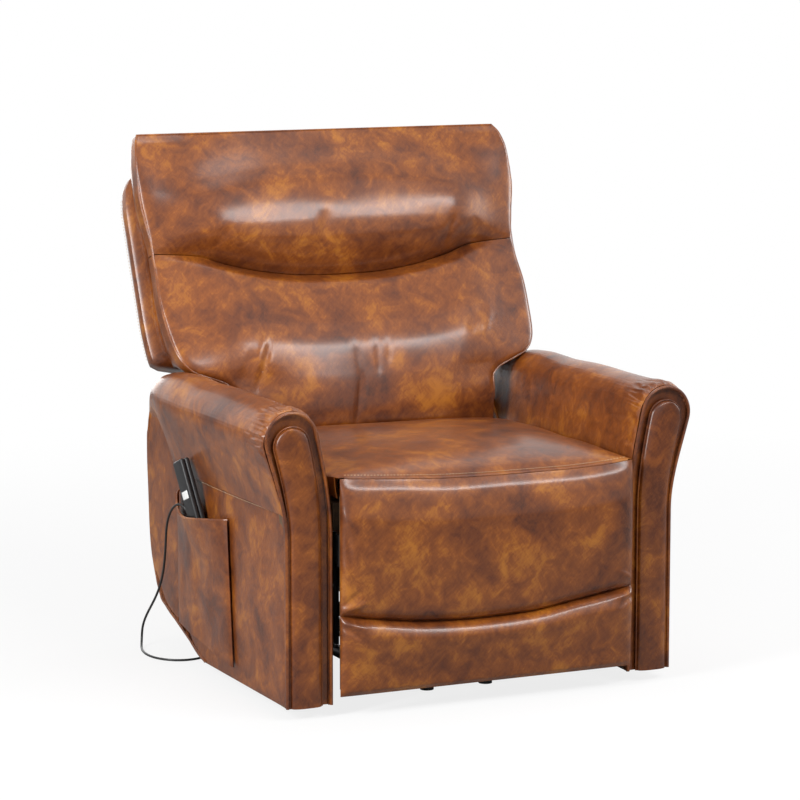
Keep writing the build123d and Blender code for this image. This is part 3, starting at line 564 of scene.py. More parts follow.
# %% Headrest cushion
head_middle = through(
    (0, 0.122), (0.04, 0.142), (0.12, 0.167), (0.22, 0.1855), (0.33, 0.1935), (0.45, 0.1955),
    (0.57, 0.193), (0.7, 0.181), (0.85, 0.16), (1, 0.142),
)
head_side = through((0, 0.129), (0.05, 0.142), (0.15, 0.154), (0.5, 0.17), (0.9, 0.158), (1, 0.142))
head_puckers = puckers(
    (0.225, 0.345, 0.262, 0.415, 0.01, -0.007),
    (0.265, 0.35, 0.318, 0.4, 0.012, -0.005),
    (-0.05, 0.36, -0.04, 0.43, 0.014, -0.003),
    (-0.29, 0.365, -0.25, 0.405, 0.01, -0.003),
)


def cushion_face(bottom, top, side, middle, fading, relief, droop=0):
    """A stuffed face between two lines across the back, whose fullness goes from side to middle."""

    def face(u, v):
        share, rise = -cos(pi * u), (1 - cos(pi * v)) / 2
        low, high = bottom(abs(share) * seam_reach), top(abs(share) * seam_reach)
        along = low + rise * (high - low)
        across = share * half_width(along)
        sag = droop * abs(share) ** 3
        sunk = rise * (1 + sag) / (1 + sag * rise)
        full = side(rise) + (middle(sunk) - side(rise)) * (1 - smooth_step(abs(share), *fading))
        edge = edge_forward(along)
        forward = edge + (full - edge) * pillow(share, 5)
        forward += pillow(share, 4) * pillow(2 * rise - 1, 6) * relief(across, along)
        return Vector((across, along, forward))

    return face


def relief(lines, seed, size, height):
    """The puckers of a cushion, and the slow unevenness of its stuffing."""
    return lambda x, y: lines(x, y) + undulation(Vector((x, y, seed)), size, height)


head_low, head_high = lambda across: seam_along(across) + seam_gap, lambda across: back_top
head_relief = relief(head_puckers, 0, 0.11, 0.003)
head_face = cushion_face(
    head_low, head_high, head_side, head_middle, (0.6, 0.97), head_relief, droop=2.4
)
board_inset = 0.014
wing_start, wing_low = 0.3, 0.15


def pad_side(point):
    """The first place on the cushion's side behind a point of its rim, rounding outwards."""
    return Vector((point.x * 1.006, point.y, point.z - 0.022))


def pad_board(point):
    """The place on the cushion's rear board behind a point of its side."""
    across, along = point.x * 0.955, point.y
    if abs(across) > wing_start:
        along = max(along, wing_low)
    return Vector((across, min(max(along, board_inset), back_top - board_inset), pad_rear))


# %% [markdown]
# The lumbar cushion has its own profiles. Both cushions are then closed: their rim goes round to
# the side, and from there in two steps to the board behind.

# %% Lumbar cushion
lumbar_middle = through(
    (0, 0.14), (0.05, 0.162), (0.16, 0.18), (0.32, 0.192), (0.48, 0.195), (0.62, 0.188), (0.78, 0.173),
    (0.92, 0.157), (1, 0.122),
)
lumbar_side = through(
    (0, 0.13), (0.12, 0.166), (0.3, 0.178), (0.5, 0.172), (0.8, 0.152), (0.95, 0.142), (1, 0.13),
)
lumbar_puckers = puckers(
    (-0.262, 0.058, -0.222, 0.165, 0.006, 0.0025),
    (-0.25, 0.055, -0.21, 0.16, 0.006, -0.0035),
    (-0.284, 0.07, -0.25, 0.145, 0.006, -0.002),
    (-0.04, -0.034, -0.022, 0.08, 0.008, -0.007),
    (-0.022, 0.05, -0.026, 0.15, 0.007, -0.0022),
    (0.017, 0.07, 0.022, 0.15, 0.006, -0.0018),
    (0.042, 0.095, 0.05, 0.15, 0.006, -0.0012),
    (0.24, 0.15, 0.275, 0.215, 0.009, -0.002),
    (0.27, 0.14, 0.31, 0.215, 0.01, 0.002),
)
lumbar_low, lumbar_high = lambda across: back_base, lambda across: seam_along(across) - seam_gap
lumbar_relief = relief(lumbar_puckers, 5, 0.13, 0.004)
lumbar_face = cushion_face(
    lumbar_low, lumbar_high, lumbar_side, lumbar_middle, (0.55, 0.95), lumbar_relief
)
for name, face, rows in (("headrest_cushion", head_face, 100), ("lumbar_cushion", lumbar_face, 130)):
    cushion = shaped_grid(name + "_cover", 250, rows, face)
    close_through(cushion, pad_side, lambda p: p.lerp(pad_board(p), 0.5), pad_board)
    cushion.data.transform(to_chair)
    finish_piece(cushion, "back", "leather_cushion", back_leather, name, padded=0.7)

# %% [markdown]
# ### Piping round the back's front face
# A thin piping closes the seam between the cushions' face and their sides. It could be extruded
# from their rim, but as a tube of its own it stays round at the corners.

# %% Back piping
rises = steps(back_base + 0.05, back_top, 90)
right_edge = [on_back(half_width(s), s, edge_forward(s) - 0.001) for s in rises]
left_edge = [on_back(-half_width(s), s, edge_forward(s) - 0.001) for s in rises]
top_edge = [
    on_back(half_width(back_top) * share / 40, back_top, edge_forward(back_top) - 0.001)
    for share in range(-39, 40)
]
back_piping = piping("back_piping", left_edge + top_edge + right_edge[::-1], 0.0028)
finish_piece(back_piping, "back", "leather", back_leather)

# %% [markdown]
# ### Outside back
# Behind the cushions the back is a shallow shell, lower than the headrest, whose side shows as a
# narrow padded roll. A bevelled box would be even all round, so the rim of the rear face is
# extruded forwards in stages, each a little wider or narrower.

# %% Outside back
shell_low, shell_high = 0.062, 0.572
shell_half_width = through(
    (shell_low, 0.27),
    (0.142, 0.27), (0.155, 0.385), (0.17, 0.41), (0.26, 0.416), (0.48, 0.415), (0.525, 0.41),
    (0.552, 0.397),
    (shell_high, 0.366),
)


def shell_face(u, v):
    share, rise = cos(pi * u), (1 - cos(pi * v)) / 2
    along = shell_low + rise * (shell_high - shell_low)
    across = share * shell_half_width(along)
    full = pillow(share, 14) * pillow(2 * rise - 1, 14)
    forward = 0.02 - 0.032 * full + undulation(Vector((across, along, 9)), 0.15, 0.002) * full
    return Vector((across, along, forward))


outside_back = shaped_grid("outside_back_cover", 110, 80, shell_face)
shell_middle = (shell_low + shell_high) / 2


def widened(share, forward):
    """A stage of the shell's side: its outline at a share of its size, at a place forward."""
    return lambda p: Vector((p.x * share, shell_middle + (p.y - shell_middle) * share, forward))


stages = ((1.014, 0.032), (1.004, 0.046), (0.997, 0.058), (0.975, 0.066), (0.945, 0.067))
close_through(outside_back, *(widened(*stage) for stage in stages))
outside_back.data.transform(to_chair)
shell_nodes = ("back_shell", "back_gussets")
finish_piece(outside_back, "back", "leather", back_leather, *shell_nodes, padded=0.3)

shell_rises = steps(0.175, 0.52, 60)
shell_seams = [
    [on_back(side * (shell_half_width(s) + offset), s, forward) for s in shell_rises]
    for side in (-1, 1)
    for offset, forward in ((0.0072, 0.03), (-0.0005, 0.0605))
]
finish_piece(stitches("outside_back_stitching", shell_seams), "back", "leather", thread)

# %% [markdown]
# ## The arms
# Each arm is a straight frame with a thick roll on top. Its outline goes up the leg, leans outwards
# and closes in a round top. The roll, the facing, the piping and the raised pad share it, each with
# its own inset. It could be a curve, but the legs of a list of points can be joined row by row.

# %% Arm outline
_, arm_front, arm_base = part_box("left_arm_welt")[0]
inner, outer = 0.315, 0.41
arm_middle, arm_half = (inner + outer) / 2, (outer - inner) / 2
leg_top = 0.34
low_turn, high_turn = radians(-15), radians(167)
roll_centre, roll_radius = (0.397, 0.531), 0.058
pad_centre = (0.396, 0.52)
print(f"an arm's front is at Y {arm_front:.3f}, and its foot at Z {arm_base:.3f}")


def lean_curve(start, start_way, end, end_way):
    """Points of a smooth curve from start to end with given directions, without its end."""
    reach = (end - start).length
    leaving, arriving = reach * start_way, reach * end_way
    return [glide(t, start, leaving, end, arriving) for t in steps(0, 1, 14)[:-1]]


def arm_outline(side, inner_x, outer_x, centre, radius):
    """Points (X, Z) up the outer leg, over the round top and down the inner leg."""
    turns = steps(low_turn, high_turn, 28)
    arc = [Vector((centre[0] + radius * cos(turn), centre[1] + radius * sin(turn))) for turn in turns]
    rising = Vector((-sin(low_turn), cos(low_turn)))
    falling = Vector((-sin(high_turn), cos(high_turn)))
    points = [Vector((outer_x, z)) for z in steps(arm_base, leg_top, 12)[:-1]]
    points += lean_curve(Vector((outer_x, leg_top)), Vector((0, 1)), arc[0], rising) + arc
    points += lean_curve(arc[-1], falling, Vector((inner_x, leg_top)), Vector((0, -1)))[1:]
    points += [Vector((inner_x, z)) for z in steps(leg_top, arm_base, 12)]
    return [(side * point.x, point.y) for point in points]


# %% [markdown]
# ### Facing, piping and raised pad
# The facing is leather stretched over the arm's front. One filled outline couldn't swell. So it is
# a grid between the outline's legs: each row joins a point of the outer leg to its partner on the
# inner one, and the last row closes the top. The raised pad is made so too, like a long loaf.


# %% Sheets between the outline's legs
def facing_sheet(name, points, front, height, back):
    """A sheet that fills an outline in the front view, raised in its middle by height."""
    half = (len(points) + 1) // 2
    outer_leg, inner_leg = points[:half], points[::-1][:half]

    def place(u, v):
        x, z = along_line(outer_leg, v).lerp(along_line(inner_leg, v), u)
        full = pillow(2 * u - 1, 3) * pillow(max(0, 2 * v - 1), 16)
        return Vector((x, front - height * full, z))

    sheet = shaped_grid(name, 36, 3 * (half - 1), place)
    return close_behind(sheet, lambda p: Vector((p.x, back, p.z)), 1)


def arm_front_pieces(side, label):
    recess = arm_outline(side, inner + 0.002, outer - 0.002, roll_centre, 0.051)
    facing_name = f"{label}_arm_facing_cover"
    facing = facing_sheet(facing_name, recess, arm_front + 0.008, -0.0025, arm_front + 0.016)
    finish_piece(facing, "carriage", "leather", facing_leather, f"{label}_arm_facing")

    edge = arm_outline(side, inner + 0.003, outer - 0.003, roll_centre, 0.0505)
    welt = piping(f"{label}_arm_piping", [(x, arm_front + 0.003, z) for x, z in edge], 0.0034)
    finish_piece(welt, "carriage", "leather", facing_leather, f"{label}_arm_welt")

    loaf = arm_outline(side, 0.338, 0.4, pad_centre, 0.0345)
    pad = facing_sheet(f"{label}_arm_pad_cover", loaf, arm_front + 0.003, 0.01, arm_front + 0.01)
    finish_piece(pad, "carriage", "leather", facing_leather, f"{label}_arm_facing_pad", padded=0.5)

    pad_edge = arm_outline(side, 0.3365, 0.4015, pad_centre, 0.036)
    cord = piping(f"{label}_arm_pad_piping", [(x, arm_front + 0.004, z) for x, z in pad_edge], 0.0017)
    finish_piece(cord, "carriage", "leather", facing_leather)


# %% [markdown]
# ### The roll
# The roll is a thick pad under one sheet of leather, with small pleats where it is sewn to the
# front piping. A tube would do for its front, but not for its rear, where it thins out and turns
# down. So its section is swept along the arm's crest, with less and less depth and overhang.

# %% Arm roll
crest_top = 0.589
crest_points = (
    (arm_front + 0.006, crest_top), (-0.2, crest_top), (0.05, crest_top), (0.13, 0.586), (0.19, 0.575),
    (0.235, 0.557), (0.268, 0.532), (0.288, 0.504), (0.3, 0.476), (0.306, 0.45),
)
crest = [Vector(point) for point in crest_points]
crest_length = [0]
for start, end in zip(crest, crest[1:]):
    crest_length.append(crest_length[-1] + (end - start).length)
crest_y = through(*[(s, y) for s, (y, z) in zip(crest_length, crest)])
crest_z = through(*[(s, z) for s, (y, z) in zip(crest_length, crest)])
roll_depth = through(
    (0, 1), (0.48, 1), (0.57, 0.97), (0.64, 0.82), (0.69, 0.62), (0.735, 0.38), (0.79, 0.05)
)
roll_bulge = through(
    (0, 1), (0.45, 1), (0.57, 0.85), (0.65, 0.55), (0.71, 0.28), (0.75, 0.12), (0.79, 0.02)
)
roll_tuck = through((0, 0), (0.66, 0), (0.74, 0.004), (0.79, 0.009))
roll_outline = arm_outline(1, inner, outer, roll_centre, roll_radius)
roll_section = [point for point in roll_outline if point[1] > 0.386]
crest_step, pleat_height, seam_dip = 0.004, 0.0062, 0.0045
print(f"the crest of a roll is {crest_length[-1]:.3f} m long")


def crest_frame(length):
    """The crest's Y and Z at a length along it, and the direction down from it."""
    y, z = crest_y(length), crest_z(length)
    ahead = Vector((crest_y(length + crest_step) - y, crest_z(length + crest_step) - z))
    if length + crest_step > crest_length[-1]:
        ahead = Vector((y - crest_y(length - crest_step), z - crest_z(length - crest_step)))
    ahead.normalize()
    return y, z, Vector((ahead.y, -ahead.x))


def pleats(u, length, height, side):
    """The gathers beside the front piping, and the dip at the seam itself."""
    reach = 0.017 + 0.008 * noise.noise(Vector((u * 14, 3, side)))
    gather = length / reach * exp(1 - length / reach) * smooth_step(height, 0.42, 0.5)
    beat = noise.noise(Vector((u * 46, length * 26, 7 * side)))
    return pleat_height * gather * beat - seam_dip * exp(-length / 0.006)


def roll_face(side):
    def face(u, v):
        length = v**1.7 * crest_length[-1]
        y, z, down = crest_frame(length)
        x, height = along_line(roll_section, u)
        drop = (crest_top - height) * roll_depth(length)
        flat = min(max(x, inner), outer)
        x = flat + (x - flat) * roll_bulge(length)
        swell = pleats(u, length, height, side)
        swell += undulation(Vector((x, length, height * 2)), 0.09, 0.0025)
        out = Vector(((x - arm_middle) / arm_half * 0.7, 1)).normalized()
        x += swell * out.x
        x -= roll_tuck(length) * min(1, max(-1, (x - arm_middle) / arm_half * 2))
        drop -= swell * out.y
        return Vector((side * x, y + down.x * drop, z + down.y * drop))

    return face


# %% [markdown]
# ### Side panels and the back of the arm
# Under the roll the arm is nearly flat. The outer panel reaches from the front piping to the
# rounded rear edge, and a padded strip closes the arm behind. Flat boards would do, but grids can
# swell a little, as panels do that are stretched over wadding.

# %% Arm panels
panel_start, panel_rear, lining_rear = arm_front + 0.004, 0.309, 0.3
panel_base = through(
    (arm_front, 0.022), (0, 0.022), (0.12, 0.062), (0.24, 0.104), (0.284, 0.177), (0.311, 0.4)
)
roll_seam = through(
    (arm_front, 0.394), (-0.118, 0.39), (0.063, 0.392), (0.145, 0.408), (0.21, 0.436),
    (0.255, 0.474), (0.282, 0.496), (0.3, 0.468), (0.311, 0.405),
)
crest_over = through(*crest)
rear_line = (
    (0.276, 0.512), (0.29, 0.5), (0.302, 0.468), (0.309, 0.43), (0.311, 0.4), (0.307, 0.33),
    (0.296, 0.25), (0.284, 0.177), (0.264, 0.135), (0.24, 0.104), (0.12, 0.063), (0.0, 0.0225),
)


def panel_face(side, x_face, rear):
    def face(u, v):
        y = panel_start + (rear - panel_start) * sin(u * pi / 2)
        tucked_in = 0.012 + 0.042 * smooth_step(y, 0.12, 0.19)
        low, high = panel_base(y), min(roll_seam(y) + tucked_in, crest_over(y) - 0.005)
        z = low + (high - low) * v
        full = pillow(2 * u - 1, 10) * pillow(2 * v - 1, 10)
        bulge = 0.0035 * full + undulation(Vector((side, y, z)), 0.12, 0.003) * full
        return Vector((side * (x_face + bulge), y, z))

    return face


def rear_face(side):
    def face(u, v):
        y, z = along_line(rear_line, v)
        share = 2 * u - 1
        x = arm_middle + share * arm_half
        return Vector((side * x, y - 0.006 + 0.006 * pillow(share, 6), z))

    return face


def arm_body_pieces(side, label):
    roll = shaped_grid(f"{label}_arm_roll_cover", 300, 130, roll_face(side))
    apply_modifier(roll, "SOLIDIFY", thickness=0.006, offset=side)
    face_outwards(roll)
    finish_piece(roll, "carriage", "leather_cushion", arm_leather, f"{label}_arm_roll", padded=0.7)

    outside = panel_face(side, outer - 0.0035, panel_rear)
    panel = shaped_grid(f"{label}_arm_side_cover", 90, 60, outside)
    close_behind(panel, lambda p: Vector((side * (outer - 0.008), p.y, p.z)), 1)
    finish_piece(panel, "carriage", "leather", arm_leather, f"{label}_arm_side_panel")

    inside = panel_face(side, 0, lining_rear)
    lining = shaped_grid(f"{label}_arm_inner_cover", 60, 40, inside)
    for vertex in lining.data.vertices:
        vertex.co.x = side * (inner + 0.0035) - vertex.co.x
    close_behind(lining, lambda p: Vector((side * (inner + 0.008), p.y, p.z)), 1)
    finish_piece(lining, "carriage", "leather", arm_leather, f"{label}_arm_inner_panel")

    strip = shaped_grid(f"{label}_arm_rear_cover", 16, 90, rear_face(side))
    close_behind(strip, lambda p: p + Vector((0, -0.006, 0.004)), 1)
    finish_piece(strip, "carriage", "leather", arm_leather)

    seam_y = steps(arm_front + 0.02, 0.16, 100)
    seam = [Vector((side * (outer + 0.0012), y, roll_seam(y) - 0.004)) for y in seam_y]
    finish_piece(stitches(f"{label}_arm_seam_stitching", [seam]), "carriage", "leather", thread)


for side, label in ((-1, "left"), (1, "right")):
    arm_front_pieces(side, label)
    arm_body_pieces(side, label)

# %% [markdown]
# ## The seat
# The seat is a firm, crowned cushion, whose front edge is a stitched seam that dips in the middle.
# A rounded box would have the same edge all round, so the seat is a grid whose height rises fast
# behind that seam and then levels out.

# %% Seat cushion
seat_low, seat_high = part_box("seat_cushion")
seat_half = seat_high.x - 0.001
seat_front, seat_rear = seat_low.y + 0.002, seat_high.y
seam_height = through(
    (-0.313, 0.458), (-0.186, 0.449), (-0.082, 0.443), (0.023, 0.441), (0.152, 0.441), (0.239, 0.444),
    (0.311, 0.45),
)
seat_rise = through(
    (0, 0), (0.03, 0.36), (0.08, 0.62), (0.17, 0.86), (0.32, 1), (0.52, 1), (0.76, 0.84), (0.9, 0.45),
    (1, -0.1),
)


def seat_face(u, v):
    share, back = -cos(pi * u), (1 - cos(pi * v)) / 2
    x = share * seat_half
    y = seat_front + back * (seat_rear - seat_front)
    edge = seam_height(x)
    crown = 0.482 - 0.016 * abs(share) ** 2.2
    full = pillow(share, 12)
    z = edge + (crown - edge) * seat_rise(back) * full - 0.01 * (1 - full) * min(1, back * 8)
    z += undulation(Vector((x, y, 2)), 0.14, 0.004) * full * pillow(2 * back - 1, 6)
    return Vector((x, y, z))


def behind_seat(point):
    lip = seam_height(point.x) - 0.006
    front = point.y < seat_front + 0.02
    return Vector((point.x * 0.99, point.y + 0.012 * front, lip if front else 0.415))


seat = shaped_grid("seat_cushion_cover", 130, 110, seat_face)
close_behind(seat, behind_seat, 3)
finish_piece(seat, "carriage", "leather_cushion", seat_leather, "seat_cushion", padded=0.7)

seam_x = steps(-0.3, 0.3, 80)
seat_seam = [Vector((x, seat_front + 0.004, seam_height(x) + 0.0045)) for x in seam_x]
finish_piece(stitches("seat_stitching", [seat_seam]), "carriage", "leather", thread)
front_cord = [Vector((x, seat_front - 0.0005, seam_height(x) - 0.001)) for x in seam_x]
finish_piece(piping("seat_front_piping", front_cord, 0.0022), "carriage", "leather", seat_leather)

# %% [markdown]
# ## The footrest
# The footrest closes the chair's front. It could be one pad with a groove, but it is sewn from two,
# and two grids that meet at the sagging seam fold into it as leather does.

# %% Footrest pads
foot_half, side_depth = 0.31, 0.024
front_y = cad_box[0].y
pad_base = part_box("footrest_lower_pad")[0].z + 0.001
board_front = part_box("footrest_board")[0].y
foot_seam = through(
    (-0.311, 0.196), (-0.232, 0.183), (-0.128, 0.17), (-0.023, 0.166), (0.084, 0.169), (0.193, 0.183),
    (0.311, 0.2),
)
upper_profile = through(
    (0, 0.024), (0.03, 0.012), (0.09, 0.004), (0.25, 0.001), (0.5, -0.003), (0.7, -0.003),
    (0.82, 0.002), (0.92, 0.01), (1, 0.025),
)
lower_profile = through(
    (0, 0.022), (0.08, 0.012), (0.3, 0.008), (0.62, 0.0), (0.8, -0.004), (0.91, 0.002), (0.97, 0.012),
    (1, 0.024),
)
corner_puckers = puckers(
    (-0.31, 0.205, -0.262, 0.222, 0.006, 0.004),
    (-0.31, 0.215, -0.272, 0.245, 0.006, -0.003),
    (-0.31, 0.185, -0.258, 0.17, 0.006, 0.004),
    (-0.31, 0.178, -0.27, 0.15, 0.005, -0.003),
    (0.31, 0.215, 0.27, 0.235, 0.006, 0.003),
    (0.31, 0.19, 0.262, 0.182, 0.006, 0.004),
    (0.31, 0.183, 0.272, 0.165, 0.005, -0.004),
    (-0.31, 0.4, -0.29, 0.34, 0.006, 0.003),
    (-0.3, 0.36, -0.296, 0.3, 0.005, -0.003),
    (-0.31, 0.3, -0.294, 0.26, 0.005, 0.003),
)


def foot_face(low, high, profile):
    def face(u, v):
        share, rise = -cos(pi * u), (1 - cos(pi * v)) / 2
        x = share * foot_half
        z = low(x) + rise * (high(x) - low(x))
        full = pillow(share, 14)
        y = front_y + profile(rise) * full + side_depth * (1 - full)
        y -= corner_puckers(x, z) * min(1, 6 * full)
        y -= undulation(Vector((x, 7, z)), 0.13, 0.003) * full * pillow(2 * rise - 1, 6)
        return Vector((x, y, z))

    return face


upper_face = foot_face(lambda x: foot_seam(x) + 0.0003, lambda x: seam_height(x) - 0.002, upper_profile)
lower_face = foot_face(lambda x: pad_base, lambda x: foot_seam(x) - 0.0003, lower_profile)
pads = (("footrest_upper_pad", 100, upper_face), ("footrest_lower_pad", 70, lower_face))
for name, rows, face in pads:
    pad = shaped_grid(name + "_cover", 130, rows, face)
    close_behind(pad, lambda p: Vector((p.x * 0.995, board_front - 0.0005, p.z)), 2)
    finish_piece(pad, "footrest", "leather_cushion", front_leather, name, padded=0.7)

# %% [markdown]
# ## The side pocket
# The pocket is a leather panel sewn to the arm on three sides, and its mouth sags open round the
# handset. It could be a bulge of the arm's panel, but a sheet of its own shows its edge.

# %% Pocket
pocket_front = through((0.046, -0.172), (0.333, -0.143))
pocket_rear = 0.113
mouth = through(
    (-0.145, 0.335), (-0.1, 0.33), (-0.04, 0.322), (0.015, 0.316), (0.06, 0.326), (0.113, 0.352)
)
pocket_low = through((-0.173, 0.05), (0.113, 0.084))


def pocket_face(u, v):
    front = pocket_front(0.05 + 0.29 * v)
    y = front + u * (pocket_rear - front)
    z = pocket_low(y) + v * (mouth(y) - pocket_low(y))
    bow = sin(pi * min(max(u, 0), 1)) ** 0.7
    depth = 0.004 + 0.005 * pillow(2 * u - 1, 8) + bow * (0.005 * v + 0.022 * v**5)
    depth += undulation(Vector((3, y, z)), 0.07, 0.004) * bow
    return Vector((-outer - depth, y, z))


pocket = shaped_grid("side_pocket_cover", 70, 70, pocket_face)
apply_modifier(pocket, "SOLIDIFY", thickness=0.0024, offset=-1)
finish_piece(pocket, "carriage", "leather", arm_leather, "handset_pocket")


def pocket_row(count, proud, place):
    """Points on the pocket at place(share), standing proud of its leather."""
    return [pocket_face(*place(share)) - Vector((proud, 0, 0)) for share in steps(0, 1, count)]


hem = pocket_row(60, 0.001, lambda share: (0.02 + 0.96 * share, 0.962))
low_hem = pocket_row(30, 0.001, lambda share: (0.02 + 0.5 * share, 0.945))
rear_seam = pocket_row(50, 0.001, lambda share: (0.975, share))
finish_piece(stitches("pocket_stitching", [hem, low_hem, rear_seam]), "carriage", "leather", thread)
mouth_edge = pocket_row(60, -0.001, lambda share: (share, 1))
finish_piece(piping("pocket_mouth_edge", mouth_edge, 0.0021), "carriage", "leather", arm_leather)

# %% [markdown]
# ## The handset and its cord
# The handset leans in the pocket: two moulded shells, with one white rocker on the face. Its edges
# could be bevelled by hand, but one function with a bevel modifier makes all three boxes, in the
# handset's own directions.


# %% Handset
handset_foot = Vector((-0.424, -0.024, 0.294))
back_tilt, out_tilt = radians(20), radians(8)
handset_up = Vector((-sin(out_tilt), sin(back_tilt) * cos(out_tilt), cos(back_tilt) * cos(out_tilt)))
handset_across = Vector((0, cos(back_tilt), -sin(back_tilt)))
handset_out = handset_up.cross(handset_across)
to_handset = Matrix((handset_across, handset_out, handset_up)).transposed().to_4x4()
to_handset.translation = handset_foot


def moulded_box(name, low, high, radius):
    """A box between two corners of the handset's own directions, with rounded edges."""
    clear_selection()
    low, high = Vector(low), Vector(high)
    bpy.ops.mesh.primitive_cube_add(size=1)
    piece = bpy.context.object
    piece.name = name
    piece.data.transform(Matrix.Translation((low + high) / 2) @ Matrix.Diagonal((*(high - low), 1)))
    apply_modifier(piece, "BEVEL", width=radius, segments=4, limit_method="NONE")
    piece.data.transform(to_handset)
    return piece


half_depth, half_across, handset_length = 0.01, 0.023, 0.145
split, shell_edge = 0.0002, 0.004
shells = (
    ("handset_face_shell", split, half_depth, "handset_front_shell"),
    ("handset_rear_shell", -half_depth, -split, "handset_back_shell"),
)
for name, rear, front, node in shells:
    shell = moulded_box(name, (-half_across, rear, 0), (half_across, front, handset_length), shell_edge)
    finish_piece(shell, "carriage", "black_plastic", finishes["black_plastic"], node)
cap_low, cap_high = (-0.0148, half_depth - 0.0032, 0.066), (0.0148, half_depth + 0.0012, 0.083)
cap = moulded_box("handset_rocker_cap", cap_low, cap_high, 0.0026)
finish_piece(cap, "handset_rocker", "white_plastic", finishes["white_plastic"], "handset_rocker")

# %% [markdown]
# The cord leaves the handset's lower end, comes up over the pocket's mouth, hangs down the side
# and runs over the floor and under the chair to the control box. A simulation could drape it, but
# a spline along chosen points bends as gently and keeps its length.


# %% Cord
cord_route = [
    handset_foot - handset_up * 0.01,
    handset_foot - handset_up * 0.03,
    (-0.421, -0.034, 0.239), (-0.423, -0.017, 0.228), (-0.425, 0.002, 0.238), (-0.427, 0.009, 0.262),
    (-0.428, 0.011, 0.287), (-0.43, 0.014, 0.312), (-0.436, 0.024, 0.335), (-0.444, 0.044, 0.34),
    (-0.45, 0.066, 0.324), (-0.452, 0.086, 0.293), (-0.448, 0.102, 0.255), (-0.444, 0.118, 0.215),
    (-0.442, 0.138, 0.172), (-0.441, 0.168, 0.135), (-0.44, 0.205, 0.103), (-0.439, 0.243, 0.073),
    (-0.437, 0.273, 0.043), (-0.435, 0.282, 0.018), (-0.441, 0.268, 0.004), (-0.452, 0.238, 0.0026),
    (-0.459, 0.2, 0.0026), (-0.456, 0.16, 0.0026), (-0.438, 0.128, 0.0026), (-0.41, 0.11, 0.0026),
    (-0.375, 0.112, 0.0026), (-0.34, 0.135, 0.0026), (-0.31, 0.168, 0.0026), (-0.285, 0.205, 0.0026),
    (-0.258, 0.236, 0.0026), (-0.228, 0.256, 0.006), (-0.21, 0.269, 0.028), (-0.203, 0.272, 0.062),
    (-0.205, 0.27, 0.1), (-0.205, 0.27, 0.14),
]
cord_diameter = 0.0048
lead = round_line("handset_lead", "NURBS", cord_route, cord_diameter / 2, 4)
cord_spline = lead.data.splines[0]
cord_spline.order_u = 4
cord_spline.use_endpoint_u = True
lead.data.materials.append(finishes["black_rubber"])
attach(lead, "carriage")
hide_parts("handset_cord")
tuple(cord_route[0])
print(f"{lead.name}: {len(cord_route)} points, {cord_diameter * 1000:.1f} mm thick")

# %% [markdown]
# ## Floor, light and camera
# A wide soft box in front and above gives the long highlights on the cushions, a tall one lights
# the left side, and weak ones above, on the right and behind keep the other sides readable. White
# light all round would be simpler, but it would veil the glossy leather. So the surround gives a
# weak even light, and is plain white only where the camera, a reflection or a see-through piece
# meets it. The floor's paint is pale to the camera, and darker where it would light the chair.

# %% Floor
clear_selection()
bpy.ops.mesh.primitive_plane_add(size=30)
floor = bpy.context.object
floor.name = "studio_floor"
floor.data.transform(Matrix.Translation((0, 0, -0.0005)))
floor_finish = Finish("studio_floor_paint", roughness=0.9)
camera_ray = floor_finish.node("LightPath", {}, {}, "Is Camera Ray")
paint, shaded_paint = (0.86, 0.86, 0.86), (0.4, 0.4, 0.4)
floor_finish.set(Base_Color=floor_finish.ramp(camera_ray, (0, shaded_paint), (1, paint)))
floor.data.materials.append(floor_finish.material)
floor_place = floor_finish.place
distance = floor_finish.node("VectorMath", {"operation": "LENGTH"}, {0: floor_place}, "Value")
fading = floor_finish.node("MapRange", {}, {"Value": distance, 1: 0.8, 2: 3.0, 3: 0.82, 4: 1.0})
glow = floor_finish.node("Emission", {}, {"Color": (1, 1, 1, 1)})
painted = Value(floor_finish, floor_finish.shader.outputs[0])
mixed = floor_finish.node("MixShader", {}, {0: camera_ray * fading, 1: painted, 2: glow})
floor_finish.feed(floor_finish.tree.nodes["Material Output"].inputs["Surface"], mixed)
print("floor nodes:", len(floor_finish.tree.nodes))

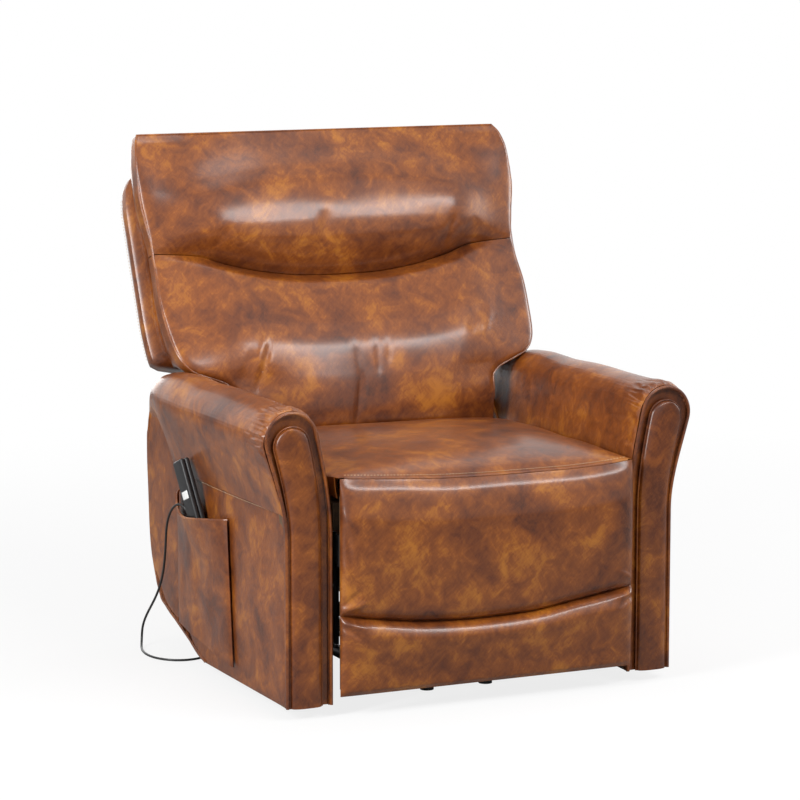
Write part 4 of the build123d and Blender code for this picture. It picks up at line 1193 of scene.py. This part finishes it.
# %% Surround
surround_light = 0.17
world = bpy.data.worlds.new("studio")
bpy.context.scene.world = world
world.use_nodes = True
studio = Graph(world.node_tree)
weak = studio.tree.nodes["Background"]
weak.inputs["Color"].default_value = (1, 1, 1, 1)
weak.inputs["Strength"].default_value = surround_light
seen = studio.node("Background", {}, {"Color": (1, 1, 1, 1)})
shown = studio.node("LightPath", {}, {}, "Is Camera Ray")
for kind in ("Is Glossy Ray", "Is Transmission Ray"):
    ray = studio.node("LightPath", {}, {}, kind)
    shown = studio.node("Math", {"operation": "MAXIMUM"}, {0: shown, 1: ray})
mixed = studio.node("MixShader", {}, {0: shown, 1: Value(studio, weak.outputs[0]), 2: seen})
studio.feed(studio.tree.nodes["World Output"].inputs["Surface"], mixed)
print("the surround's strength is", surround_light)


# %% Soft boxes
def soft_box(name, place, aim, width, height, power):
    clear_selection()
    bpy.ops.object.light_add(type="AREA", location=place)
    lamp = bpy.context.object
    lamp.name = name
    lamp.data.shape = "RECTANGLE"
    lamp.data.size, lamp.data.size_y = width, height
    lamp.data.energy = power
    lamp.rotation_euler = (Vector(aim) - Vector(place)).to_track_quat("-Z", "Y").to_euler()
    print(f"{name}: {power} W")


soft_box("front_soft_box", (0.96, -2.4, 2.65), (0, -0.1, 0.65), 2.7, 0.52, 74)
soft_box("left_soft_box", (-3.1, -1.3, 1.8), (-0.2, 0, 0.65), 0.6, 2.0, 116)
soft_box("top_soft_box", (-0.2, 0.3, 3.2), (0, 0, 0.5), 1.6, 1.2, 18)
soft_box("right_soft_box", (3.2, 0.3, 1.3), (0, 0, 0.6), 1.6, 1.2, 40)
soft_box("rear_soft_box", (0.4, 3.4, 0.7), (0, 0.3, 0.6), 1.6, 1.0, 12)

# %% [markdown]
# The camera stands in front and to the left. Its long lens keeps upright edges nearly parallel.

# %% Camera
camera_place, camera_aim = Vector((-2.6766, -5.7812, 1.4879)), Vector((-0.177, -0.425, 0.593))
bpy.ops.object.camera_add(location=camera_place)
camera = bpy.context.object
camera.rotation_euler = (camera_aim - camera_place).to_track_quat("-Z", "Y").to_euler()
camera.data.lens = 143.72
camera.data.sensor_width = 36
bpy.context.scene.camera = camera
bpy.context.scene.view_settings.view_transform = "Standard"
print(f"the camera stands {(camera_aim - camera_place).length:.2f} m from what it looks at")
